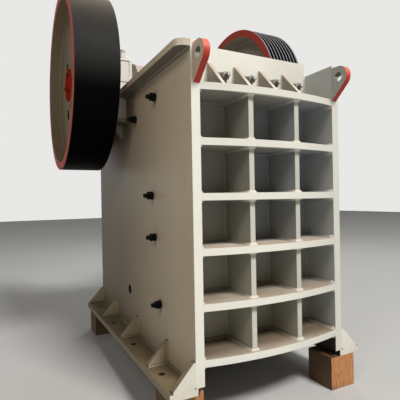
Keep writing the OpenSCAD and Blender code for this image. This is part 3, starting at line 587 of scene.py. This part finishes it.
def make_steel(name, dark, light, rough, rust, metallic, gloss=0.5, turned=False, depth=0.6 * MM):
    """Steel between two colours and two values of roughness, with dull rust spots."""
    material, tree = new_material(name)
    tone = mix(tree, fade(tree, cloud(tree, 18.0, 6.0, 0.65), 0.3, 0.7), dark, light)
    spots = use(tree, RUST, "Mask", Share=rust, Scale=34.0)
    tone = mix(tree, spots, tone, use(tree, RUST, "Colour"))
    dull = calc(tree, "MULTIPLY_ADD", spots, 0.3, rough[0])
    roughness = calc(tree, "MULTIPLY_ADD", cloud(tree, 30.0), rough[1] - rough[0], dull)
    height = use(tree, TURNED_LINES, Axis=SHAFT, Pitch=0.002) if turned else use(tree, CAST_SKIN, Grain=0.6)
    shine = times(tree, calc(tree, "SUBTRACT", 1.0, spots), metallic)
    return finish(material, tone, roughness, height, depth, 1.5 * MM, gloss, shine)


def make_wheel_paint(name, face, web_paint, tread, roughness, land_and_glint=None):
    """Painted wheel: red rim faces, a web with painted shade in its holes, and a dark tread that is lighter
    on top with dust and painted sheen.

    A grooved wheel gives the colour of the lands between its grooves, which also stands in for the highlight
    on their crests. A smooth one has painted shade below, near black.
    """
    material, tree = new_material(name)
    radius = use(tree, TURNED_LINES, "Radius", Axis=SHAFT)
    ragged = calc(tree, "MULTIPLY_ADD", cloud(tree, 40.0), 3 * MM, calc(tree, "SUBTRACT", radius, 1.5 * MM))
    at_end = larger(tree, fade(tree, across(tree), WHEEL_OUT - 1.2 * MM, WHEEL_OUT - 0.6 * MM),
                    fade(tree, across(tree), WHEEL_IN + 1.2 * MM, WHEEL_IN + 0.6 * MM))
    is_red = times(tree, at_end, fade(tree, ragged, RIM_INNER - 2 * MM, RIM_INNER))
    outer = fade(tree, radius, RIM_INNER + 20 * MM, RIM_INNER + 30 * MM)
    is_tread = times(tree, outer, calc(tree, "SUBTRACT", 1.0, at_end))
    red = use(tree, MOTTLE, Colour=face, Change=0.08, Scale=4.0)
    if land_and_glint:
        # The lands are bare; their light colour also stands in for the highlight on the crests.
        tread = mix(tree, fade(tree, radius, WHEEL_R - 4 * MM, WHEEL_R - 2 * MM), tread, land_and_glint)
    # Tread lighter where it looks up: dust, and painted sheen.
    looks_up = larger(tree, world_normal(tree, "Z"), 0.0)
    dark = mix(tree, times(tree, calc(tree, "POWER", looks_up, 3.5), 0.8), tread, TREAD_DUST_AND_SHEEN)
    # Painted shade: a smooth tread near black where it looks down.
    if not land_and_glint:
        dark = mix(tree, by_normal(tree, "Z", 0.1, -0.3), dark, colour(6, 6, 6))
    dark = use(tree, MOTTLE, Colour=dark, Change=0.12, Scale=3.0)
    web, web_rough = aged_paint(tree, web_paint, dust=0.0, wear=0.1, grime=0.0, runs=0.0, corners=0.6,
                                change=0.1)
    # Painted shade in the web holes.
    in_hole = times(tree, fade(tree, radius, WEB_HOLE_R - 70 * MM, WEB_HOLE_R - 60 * MM),
                    fade(tree, radius, WEB_HOLE_R + 70 * MM, WEB_HOLE_R + 60 * MM),
                    by_facing(tree, "X", 0.6, 0.3))
    web = mix(tree, in_hole, web, GRIME_AND_SHADE)
    tone = mix(tree, is_tread, mix(tree, is_red, web, red), dark)
    tone = mix(tree, times(tree, use(tree, EDGE_WEAR, Width=0.004, Share=0.4), outer), tone, BARE)
    satin = calc(tree, "MULTIPLY_ADD", cloud(tree, 9.0), 0.12, roughness)
    rough = put(tree, "Mix", {0: is_tread, 2: web_rough, 3: satin}, data_type="FLOAT")
    lines = times(tree, use(tree, TURNED_LINES, Axis=SHAFT, Pitch=0.003), 0.3)
    cast = times(tree, use(tree, CAST_SKIN, Grain=0.8), calc(tree, "SUBTRACT", 1.0, outer))
    return finish(material, tone, rough, calc(tree, "ADD", lines, cast), 0.6 * MM, gloss=WHEEL_GLOSS)


def make_timber():
    """Sawn softwood: grain along Y, flat rings on the ends, cracks, and painted shade on the faces that look
    left or up and on the blocks toward the back.
    """
    material, tree = new_material("timber")
    stretched = vector_calc(tree, "MULTIPLY", place(tree), (12.0, 0.35, 1.6))
    values = {"Vector": stretched, "Scale": 2.2, "Distortion": 4.0, "Detail": 3.0, "Detail Scale": 1.2}
    rings = put(tree, "TexWave", values, "Fac")
    fibre = cloud(tree, 60.0, 4.0, 0.6, (1, 0.08, 0.25))
    tone = mix(tree, rings, colour(156, 100, 60), colour(204, 144, 92))
    tone = mix(tree, times(tree, fade(tree, fibre, 0.45, 0.7), 0.5), tone, colour(112, 68, 42))
    cracks = fade(tree, cloud(tree, 38.0, 2.0, 0.5, (1, 0.05, 0.2)), 0.66, 0.74)
    tone = mix(tree, times(tree, cracks, 0.7), tone, colour(52, 32, 22))
    # Painted shade on faces that look left or up, and on the blocks toward the back.
    timber_shade = larger(tree, by_normal(tree, "X", -0.5, -0.8), by_normal(tree, "Z", 0.5, 0.8),
                    by_place(tree, "Y", FRONT_Y + 0.4, FRONT_Y + 1.2))
    tone = mix(tree, times(tree, timber_shade, 0.88), tone, colour(44, 34, 26))
    tone = mix(tree, times(tree, use(tree, LOW_GRIME, Height=0.0), 0.6), tone, DIRT_AND_SHADE)
    grain = calc(tree, "MULTIPLY_ADD", fibre, 0.5, times(tree, rings, 0.25))
    rough = calc(tree, "MULTIPLY_ADD", fibre, 0.15, 0.7)
    return finish(material, tone, rough, calc(tree, "SUBTRACT", grain, cracks), 2 * MM, 5 * MM)


front_wall_paint = make_front_paint("front_wall_paint", 0.6, 0.25, **PANEL_AGE)
rib_paint = make_front_paint("rib_paint", 0.7, 0.4, paint=colour(194, 193, 181), **PANEL_AGE)
shelf_paint = make_front_paint("shelf_paint", 0.75, 0.8,
                               dust=0.9, wear=0.15, grime=0.1, runs=0.08, corners=0.2)
front_welds_paint = make_front_paint("front_welds_paint", 0.7, 1.0, start=0.14,
                                     dust=0.8, wear=0.0, grime=0.0, runs=0.0, corners=0.3)
gusset_paint = make_gusset_paint()
cream_back = make_cream("cream_back", **BACK_AGE)
foot_paint = make_foot_paint()
cream_side = make_side_paint("cream_side")
flange_paint = make_side_paint("flange_paint", colour(188, 179, 159))
# The bearing seats and the upper welds take darker edges than the side plates: painted shade.
seat_shade_paint = make_side_paint("seat_shade_paint", colour(165, 161, 138))
rear_paint = make_rear_paint()
lug_paint = make_lug_paint()
# Both webs take colours darker than the cream, the flywheel's most: painted shade.
flywheel_paint = make_wheel_paint("flywheel_paint", colour(182, 62, 47), colour(128, 114, 92),
                                  colour(42, 42, 41), 0.36)
belt_wheel_paint = make_wheel_paint("belt_wheel_paint", colour(196, 84, 76), colour(166, 160, 148),
                                    colour(14, 15, 18), 0.3, colour(128, 132, 138))
cover_paint = make_cream("cover_paint", colour(172, 40, 22), 0.0, **COVER_AGE)
screw_paint = make_cream("screw_paint", colour(84, 26, 20), 0.0, **COVER_AGE)
spring_paint = make_cream("spring_paint", colour(200, 56, 38),
                          dust=0.3, wear=0.3, grime=0.2, runs=0.0, corners=0.3)
jaw_paint = make_cream("jaw_paint", colour(196, 186, 170),
                       dust=0.6, wear=0.3, grime=0.2, runs=0.3, corners=0.4)
bolt_steel = make_steel("bolt_steel", colour(82, 78, 70), colour(132, 126, 116), (0.4, 0.6), 0.06, 0.3)
stud_ends = make_steel("stud_ends", colour(222, 220, 212), colour(240, 238, 232), (0.4, 0.55), 0.0, 0.0)
black_nuts = make_steel("black_nuts", colour(4, 4, 5), colour(10, 10, 11), (0.5, 0.65), 0.02, 0.0, NUT_GLOSS)
manganese = make_steel("manganese", colour(52, 50, 48), colour(84, 80, 76), (0.5, 0.7), 0.16, 0.8,
                       depth=1.2 * MM)
turned_steel = make_steel("turned_steel", colour(128, 126, 122), colour(172, 170, 166), (0.28, 0.42), 0.12,
                          1.0, turned=True, depth=0.2 * MM)
timber = make_timber()

FINISHES = {
    front_wall_paint: ("front_wall",),
    rib_paint: ("front_ribs",),
    shelf_paint: ("front_shelves",),
    gusset_paint: ("apron_gussets",),
    cream_side: ("side_plate_left", "side_plate_right"),
    seat_shade_paint: ("bearing_seat_left", "bearing_seat_right"),
    flange_paint: ("top_flange_left", "top_flange_right"),
    rear_paint: ("rear_wall", "toggle_beam"),
    foot_paint: ("foot_plate_left", "foot_plate_right", "foot_gussets_left", "foot_gussets_right"),
    cream_back: ("bearing_housing_left", "bearing_housing_right", "bearing_cap_left", "bearing_cap_right",
                 "rear_shelves", "rear_ribs"),
    lug_paint: ("lifting_lug_left", "lifting_lug_right"),
    flywheel_paint: ("flywheel",),
    belt_wheel_paint: ("belt_wheel",),
    cover_paint: ("hub_cover_left", "hub_cover_right"),
    spring_paint: ("tension_spring",),
    jaw_paint: ("swing_jaw", "toggle_seats", "bearing_cover_left", "bearing_cover_right"),
    manganese: ("fixed_jaw_plate", "swing_jaw_plate", "cheek_plate_left", "cheek_plate_right"),
    turned_steel: ("eccentric_shaft", "toggle_plate", "tension_rod"),
    timber: ("timber_blocks",),
}
for material, names in FINISHES.items():
    for name in names:
        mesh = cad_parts[name].data
        mesh.materials.clear()
        mesh.materials.append(material)


# Added pieces

class Shape:
    """Vertices and faces that grow into one mesh."""

    def __init__(self):
        self.verts, self.faces, self.looks = [], [], []

    def add_rings(self, rings, at=None, capped=True, bright=None):
        """Skins equally long closed rings and closes both ends. One band may take the second material."""
        start, count = len(self.verts), len(rings[0])
        for ring in rings:
            self.verts += [at @ Vector(p) if at else Vector(p) for p in ring]
        for i in range(len(rings) - 1):
            for k in range(count):
                n = (k + 1) % count
                a, b = start + i * count, start + (i + 1) * count
                self.faces.append((a + k, a + n, b + n, b + k))
        if capped:
            self.faces.append(tuple(start + k for k in reversed(range(count))))
            last = start + (len(rings) - 1) * count
            self.faces.append(tuple(last + k for k in range(count)))
        self.looks += [0] * (len(self.faces) - len(self.looks))
        if bright is not None:
            first = len(self.looks) - 2 * capped - (len(rings) - 1 - bright) * count
            self.looks[first:first + count] = [1] * count

    def made(self, name, *materials, body="root", sharp=38):
        mesh = bpy.data.meshes.new(name)
        mesh.from_pydata([tuple(v) for v in self.verts], [], self.faces)
        for material in materials:
            mesh.materials.append(material)
        mesh.polygons.foreach_set("material_index", self.looks)
        mesh.shade_smooth()
        mesh.set_sharp_from_angle(angle=math.radians(sharp))
        piece = bpy.data.objects.new(name, mesh)
        bpy.context.collection.objects.link(piece)
        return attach(piece, body)


def weld(shape, stations, leg, taper=True):
    """Lays a rippled fillet through stations of (corner point, outward direction, upward direction).

    Its section is slightly convex with two passes, and the leg length wanders as a hand-laid bead does.
    """
    ripple, sunk = 7 * MM, 2 * MM
    profile = []
    for k in range(9):
        s = k / 8
        bulge = 0.05 * math.sin(math.pi * s) + 0.035 * abs(math.sin(2 * math.pi * s))
        profile.append((s + bulge * 0.7, 1 - s + bulge * 0.7))
    total = sum((b[0] - a[0]).length for a, b in zip(stations, stations[1:]))
    rings, done = [], 0.0
    for (p0, o0, u0), (p1, o1, u1) in zip(stations, stations[1:]):
        length = (p1 - p0).length
        steps = max(1, round(length / ripple)) if length else 2
        for i in range(steps + (p1 is stations[-1][0])):
            share = i / steps
            point, out, up = p0.lerp(p1, share), o0.lerp(o1, share), u0.lerp(u1, share)
            along = done + share * length
            near_end = min(along, total - along) / leg
            size = leg * (0.93 + 0.16 * noise.noise(point * 9) + (0.05 if len(rings) % 2 else -0.03))
            if taper and near_end < 0.7:
                size *= 0.55 + 0.64 * near_end
            root = point - sunk * (out + up)
            rings.append([root] + [point + size * (a * out + b * up) for a, b in profile])
        done += length
    shape.add_rings(rings)


def straight(shape, start, end, out, up, leg, taper=True):
    weld(shape, [(Vector(point), Vector(out), Vector(up)) for point in (start, end)], leg, taper)


def round_rib(shape, x, z, up, leg):
    """Weld round the three free sides of an upright rib: side, front edge, other side."""
    left, right = x - RIB_T / 2, x + RIB_T / 2
    fan = [(left, (-X, (-X - Y).normalized(), -Y)), (right, (-Y, (X - Y).normalized(), X))]
    stations = [(Vector((left, WALL_Y, z)), -X, up)]
    for edge, turns in fan:
        stations += [(Vector((edge, RIB_Y, z)), turn, up) for turn in turns]
    stations.append((Vector((right, WALL_Y, z)), X, up))
    weld(shape, stations, leg)


def front_welds():
    """Welds of the ribbed front: shelves, ribs, pocket walls and apron gussets."""
    leg = {"shelf": 17 * MM, "shelf_end": 27 * MM, "rib_foot": 19 * MM, "rib_head": 16 * MM,
           "rib_wall": 13 * MM, "wall": 16 * MM, "gusset": 11 * MM}
    shelves, ribs, walls, gussets = Shape(), Shape(), Shape(), Shape()
    for i, top in enumerate(SHELF_TOPS):
        for z, up in ((top, Z), (top - SHELF_T, -Z)):
            straight(shelves, (-INNER_X, WALL_Y, z), (INNER_X, WALL_Y, z), -Y, up, leg["shelf"], False)
            if z > SIDE_TOP:
                continue
            for side in (LEFT, RIGHT):
                start, end = (side * INNER_X, FRONT_Y + 3 * MM, z), (side * INNER_X, WALL_Y, z)
                straight(shelves, start, end, -side * X, up, leg["shelf_end"])
        if i < 5:
            roof = SHELF_TOPS[i + 1] - SHELF_T
            for x in (-RIB_X, RIB_X):
                round_rib(ribs, x, top, Z, leg["rib_foot"])
                round_rib(ribs, x, roof, -Z, leg["rib_head"])
                for side in (LEFT, RIGHT):
                    edge = x + side * RIB_T / 2
                    straight(ribs, (edge, WALL_Y, top), (edge, WALL_Y, roof), side * X, -Y, leg["rib_wall"])
    for side in (LEFT, RIGHT):
        edge = side * INNER_X
        bottom = SHELF_TOPS[0] - SHELF_T
        straight(walls, (edge, WALL_Y, bottom), (edge, WALL_Y, SIDE_TOP), -side * X, -Y, leg["wall"])
    for i in (-1.5, -0.5, 0.5, 1.5):
        for side in (LEFT, RIGHT):
            edge = i * BOLT_PITCH + side * APRON_GUSSET_T / 2
            corner = (edge, WALL_Y, SHELF_TOPS[5])
            front = (edge, APRON_GUSSET_Y + 4 * MM, SHELF_TOPS[5])
            straight(gussets, front, corner, side * X, Z, leg["gusset"])
            straight(gussets, corner, (edge, WALL_Y, APRON_GUSSET_TOP - 4 * MM), side * X, -Y, leg["gusset"])
    pieces = {"shelf_welds": shelves, "rib_welds": ribs, "pocket_wall_welds": walls, "apron_welds": gussets}
    for name, shape in pieces.items():
        shape.made(name, front_welds_paint)


def side_welds(side, word):
    """Welds on the outside of one side plate: foot, foot gussets, top flange, bearing seat."""
    leg = {"foot": 15 * MM, "gusset": 13 * MM, "flange": 15 * MM, "pad": 14 * MM, "seat": 13 * MM}
    foot, upper = Shape(), Shape()
    out, face = side * X, side * HALF_W
    straight(foot, (face, FRONT_Y, FOOT_TOP), (face, BACK_Y, FOOT_TOP), out, Z, leg["foot"], False)
    for y, t in FOOT_GUSSETS:
        for turn, edge in ((-Y, y), (Y, y + t)):
            if FRONT_Y < edge < BACK_Y:
                corner = (face, edge, FOOT_TOP)
                straight(foot, corner, (side * FOOT_GUSSET_OUT, edge, FOOT_TOP), turn, Z, leg["gusset"])
                straight(foot, corner, (face, edge, FOOT_GUSSET_TOP - 4 * MM), turn, out, leg["gusset"])
    flange_low, flange_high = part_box("top_flange_right")
    start, end = (face, FRONT_Y + 10 * MM, flange_low[2]), (face, flange_high[1], flange_low[2])
    straight(upper, start, end, out, -Z, leg["flange"])
    seat_low, seat_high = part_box("bearing_seat_right")
    pad_low, pad_out, web_t = seat_high[2] - 42 * MM, side * (HALF_W + 110 * MM), 32 * MM
    straight(upper, (face, seat_low[1], pad_low), (face, seat_high[1], pad_low), out, -Z, leg["pad"])
    for y in (seat_low[1] + 102 * MM, seat_high[1] - 134 * MM):
        for turn, edge in ((-Y, y), (Y, y + web_t)):
            corner = (face, edge, pad_low)
            straight(upper, (face, edge, seat_low[2] + 4 * MM), corner, turn, out, leg["seat"])
            straight(upper, corner, (pad_out, edge, pad_low), turn, -Z, leg["seat"])
    foot.made("foot_welds_" + word, foot_paint)
    upper.made("upper_welds_" + word, seat_shade_paint)


def rear_welds():
    """Welds of the ribbed rear wall."""
    leg = {"shelf": 14 * MM, "shelf_end": 16 * MM, "rib": 12 * MM, "wall": 16 * MM}
    shape = Shape()
    wall_low, wall_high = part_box("rear_wall")
    shelf_low, shelf_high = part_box("rear_shelves")
    face, back, rib_t = wall_high[1], BACK_Y - 3 * MM, 40 * MM
    step = (shelf_high[2] - shelf_low[2] - rib_t) / 3
    for i in range(4):
        z = shelf_low[2] + i * step
        for level, up in ((z + rib_t, Z), (z, -Z)):
            if wall_low[2] < level < wall_high[2]:
                straight(shape, (-INNER_X, face, level), (INNER_X, face, level), Y, up, leg["shelf"], False)
            for side in (LEFT, RIGHT):
                edge = side * INNER_X
                straight(shape, (edge, face, level), (edge, back, level), -side * X, up, leg["shelf_end"])
        if i < 3:
            for x in (-RIB_X, RIB_X):
                for side in (LEFT, RIGHT):
                    edge = x + side * rib_t / 2
                    straight(shape, (edge, face, z + rib_t), (edge, face, z + step), side * X, Y, leg["rib"])
                    for level, up in ((z + rib_t, Z), (z + step, -Z)):
                        straight(shape, (edge, face, level), (edge, back, level), side * X, up, leg["rib"])
    for side in (LEFT, RIGHT):
        edge = side * INNER_X
        straight(shape, (edge, face, wall_low[2]), (edge, face, wall_high[2]), -side * X, Y, leg["wall"])
    shape.made("rear_welds", cream_back)


def circle(radius_at, z, count=72):
    ring = []
    for k in range(count):
        turn = 2 * math.pi * k / count
        r = radius_at(turn) if callable(radius_at) else radius_at
        ring.append((r * math.cos(turn), r * math.sin(turn), z))
    return ring


def hexagon(flats, turned_by=0.0):
    """Radius of a hexagon with these flats as a function of the angle."""
    def radius_at(turn):
        return flats / 2 / math.cos((turn + turned_by) % (math.pi / 3) - math.pi / 6)
    return radius_at


def add_nut(shape, at, flats, base, height, turned_by=0.0):
    """Hexagon nut or bolt head with chamfered corners, standing on z = base."""
    hexed = hexagon(flats, turned_by)
    face_r, slope = flats / 2 * 0.95, math.tan(math.radians(30))
    drop = (flats / math.sqrt(3) - face_r) * slope
    levels = [drop * k / 4 for k in range(5)]

    def cut(z):
        return lambda turn: min(hexed(turn), face_r + z / slope)

    rings = [circle(cut(z), base + z) for z in levels]
    rings += [circle(cut(z), base + height - z) for z in reversed(levels)]
    shape.add_rings(rings, at)


def add_stud(shape, at, diameter, start, end, pitch=4 * MM, bright_end=False):
    """Threaded stud end with a chamfer and a centre mark."""
    r, depth, count = diameter / 2, pitch * 0.55, 36
    rings = []
    z = start
    while z < end - 4 * MM:
        ring = []
        for k in range(count):
            phase = (z / pitch - k / count) % 1.0
            here = r - depth * abs(2 * phase - 1)
            turn = 2 * math.pi * k / count
            ring.append((here * math.cos(turn), here * math.sin(turn), z))
        rings.append(ring)
        z += pitch / 4
    chamfer = [(r - 2 * MM, end - 2 * MM), (r - 6.5 * MM, end)]
    centre_mark = [(r * 0.3, end), (r * 0.2, end - 4 * MM)]
    rings += [circle(radius, z, count) for radius, z in chamfer + centre_mark]
    shape.add_rings(rings, at, bright=len(rings) - 3 if bright_end else None)


def add_square_washer(shape, at, side, thick, corner=4 * MM):
    half = side / 2
    ring = []
    for sx, sy in ((1, 1), (-1, 1), (-1, -1), (1, -1)):
        near, far = (half * sx, (half - corner) * sy), ((half - corner) * sx, half * sy)
        ring += [near, far] if sx == sy else [far, near]
    rings = [[(x * grow, y * grow, z) for x, y in ring]
             for z, grow in ((0.0, 1.0), (thick - 2 * MM, 1.0), (thick, 0.96))]
    shape.add_rings(rings, at)


def looking(point, direction):
    """Matrix that stands a shape drawn along +Z on a point, along a direction."""
    return Matrix.Translation(point) @ Vector(direction).to_track_quat("Z", "Y").to_matrix().to_4x4()


def cheek_bolt_pieces():
    flats, nut, lock_nut, gap = 56 * MM, 30 * MM, 16.5 * MM, 1.5 * MM
    stud, stud_start, stud_end = 36 * MM, 28 * MM, 78 * MM
    for side, word in SIDES:
        shape = Shape()
        for y, z in CHEEK_BOLTS:
            at = looking((side * HALF_W, y, z), side * X) @ Matrix.Rotation(chance.uniform(0, 1), 4, "Z")
            add_nut(shape, at, flats, 0.0, nut)
            add_nut(shape, at, flats, nut + gap, lock_nut, 0.3)
            add_stud(shape, at, stud, stud_start, stud_end)
        nuts = shape.made("cheek_nuts_" + word, black_nuts)
        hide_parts("cheek_bolts_" + word)


def jaw_bolt_pieces():
    washer_side, washer, flats, nut, lock_nut, gap = 74 * MM, 12 * MM, 58 * MM, 30 * MM, 20.5 * MM, 1.5 * MM
    stud, stud_start, stud_end = 34 * MM, 60 * MM, 104 * MM
    shape = Shape()
    height = (low("jaw_bolts")[2] + high("jaw_bolts")[2]) / 2
    for i in range(-2, 3):
        at = looking((i * BOLT_PITCH, WALL_Y, height), -Y)
        turns = [Matrix.Rotation(chance.uniform(*span), 4, "Z") for span in ((-0.06, 0.06), (0, 1), (0, 1))]
        add_square_washer(shape, at @ turns[0], washer_side, washer)
        add_nut(shape, at @ turns[1], flats, washer, nut)
        add_nut(shape, at @ turns[2], flats, washer + nut + gap, lock_nut)
        add_stud(shape, at, stud, stud_start, stud_end, bright_end=True)
    nuts = shape.made("jaw_nuts", bolt_steel, stud_ends)
    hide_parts("jaw_bolts")


def cap_bolt_pieces():
    reach, flats, nut = 374 * MM, 85 * MM, 50 * MM
    stud, stud_start, stud_end, pitch = 56 * MM, 45 * MM, 88 * MM, 5.5 * MM
    shape = Shape()
    for side in (LEFT, RIGHT):
        for y in (SHAFT[1] - reach, SHAFT[1] + reach):
            foot = (side * 655 * MM, y, low("cap_bolts")[2])
            at = Matrix.Translation(foot) @ Matrix.Rotation(chance.uniform(0, 1), 4, "Z")
            add_nut(shape, at, flats, 0.0, nut)
            add_stud(shape, at, stud, stud_start, stud_end, pitch)
    nuts = shape.made("cap_nuts", cream_back)
    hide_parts("cap_bolts")


def ring_of_screws(shape, side, face_x, radius, turns, flats, height):
    """Screw heads on a round cover, at these angles round the shaft."""
    for degrees in turns:
        turn = math.radians(degrees)
        point = (side * face_x, SHAFT[1] + radius * math.cos(turn), SHAFT[2] + radius * math.sin(turn))
        add_nut(shape, looking(point, side * X) @ Matrix.Rotation(turn, 4, "Z"), flats, -1 * MM, height)


def cover_screws():
    """Three screws on each hub cover turn with the shaft; eight on each bearing cover stand still."""
    hub_x, bearing_x = high("hub_cover_right")[0], high("bearing_cover_right")[0]
    for side, word in SIDES:
        hub, bearing = Shape(), Shape()
        ring_of_screws(hub, side, hub_x, 97 * MM, (111, 231, 351), 30 * MM, 14 * MM)
        ring_of_screws(bearing, side, bearing_x, 180 * MM, [22.5 + 45 * k for k in range(8)], 18 * MM, 8 * MM)
        hub.made("hub_screws_" + word, screw_paint, body="rotor")
        bearing.made("bearing_screws_" + word, black_nuts)


front_welds()
for side, word in SIDES:
    side_welds(side, word)
rear_welds()
cheek_bolt_pieces()
jaw_bolt_pieces()
cap_bolt_pieces()
cover_screws()

EDGE_ROUNDINGS = {"timber_blocks": 5 * MM, "hub_cover_left": 2 * MM, "hub_cover_right": 2 * MM}
for name, width in EDGE_ROUNDINGS.items():
    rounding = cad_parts[name].modifiers.new("rounded_edges", "BEVEL")
    rounding.width = width
    rounding.segments = 3


# Camera, lights and floor

def set_camera():
    """The photograph's own viewpoint, at eye height in front of the left corner."""
    eye = (-1.7223, -3.4452, 1.5004)
    yaw, pitch, roll = math.radians(27.391), math.radians(-0.19), -0.0178
    ahead = Vector((math.sin(yaw) * math.cos(pitch), math.cos(yaw) * math.cos(pitch), math.sin(pitch)))
    level = Vector((math.cos(yaw), -math.sin(yaw), 0))
    upright = level.cross(ahead)
    right = math.cos(roll) * level + math.sin(roll) * upright
    up = math.cos(roll) * upright - math.sin(roll) * level
    data = bpy.data.cameras.new("camera")
    data.sensor_width = 36
    data.lens = 34.75
    camera = bpy.data.objects.new("camera", data)
    camera.matrix_world = Matrix.Translation(eye) @ Matrix((right, up, -ahead)).transposed().to_4x4()
    bpy.context.collection.objects.link(camera)
    bpy.context.scene.camera = camera


def add_lamp(name, stands_at, target, size, power, tint=(1, 1, 1)):
    data = bpy.data.lights.new(name, "AREA")
    data.shape = "RECTANGLE"
    data.size, data.size_y = size
    data.energy = power
    data.color = tint
    lamp = bpy.data.objects.new(name, data)
    lamp.location = stands_at
    lamp.rotation_euler = (Vector(target) - Vector(stands_at)).to_track_quat("-Z", "Y").to_euler()
    bpy.context.collection.objects.link(lamp)


def set_floor():
    """A plain pale floor, wide enough to reach the horizon."""
    half = 30
    mesh = bpy.data.meshes.new("floor")
    corners = [(-half, -half, 0), (half, -half, 0), (half, half, 0), (-half, half, 0)]
    mesh.from_pydata(corners, [], [(0, 1, 2, 3)])
    floor = bpy.data.objects.new("floor", mesh)
    floor.location.z = cad_low[2]
    bpy.context.collection.objects.link(floor)
    material, tree = new_material("floor")
    shader = tree.nodes["Principled BSDF"]
    pale = mix(tree, cloud(tree, 1.2), colour(184, 184, 181), colour(192, 191, 188))
    fill(tree, shader, {"Base Color": pale, "Roughness": 0.7})
    mesh.materials.append(material)


def set_sky():
    """A pale background for camera and reflections over a faint even light."""
    seen_strength, light_strength = 1.0, 0.08
    world = bpy.data.worlds.new("studio")
    bpy.context.scene.world = world
    world.use_nodes = True
    tree = world.node_tree
    rays = tree.nodes.new("ShaderNodeLightPath").outputs
    seen = larger(tree, rays["Is Camera Ray"], rays["Is Glossy Ray"], rays["Is Transmission Ray"])
    tone = mix(tree, seen, colour(226, 224, 220), colour(232, 232, 230))
    strength = calc(tree, "MULTIPLY_ADD", seen, seen_strength - light_strength, light_strength)
    fill(tree, tree.nodes["Background"], {"Color": tone, "Strength": strength})


bpy.context.scene.view_settings.view_transform = "Standard"
set_camera()
set_floor()
set_sky()
add_lamp("key", (3.0, -14.0, 17.0), target=(0, -0.9, 1.5), size=(5.4, 4.2), power=4700,
         tint=(1.0, 0.995, 0.985))
add_lamp("fill", (-5.2, -4.2, 6.0), target=(-0.6, -0.4, 1.4), size=(2.2, 2.2), power=125,
         tint=(1.0, 0.93, 0.86))
add_lamp("back", (4.5, 6.5, 6.5), target=(0, 0.5, 1.8), size=(4.0, 3.0), power=160)
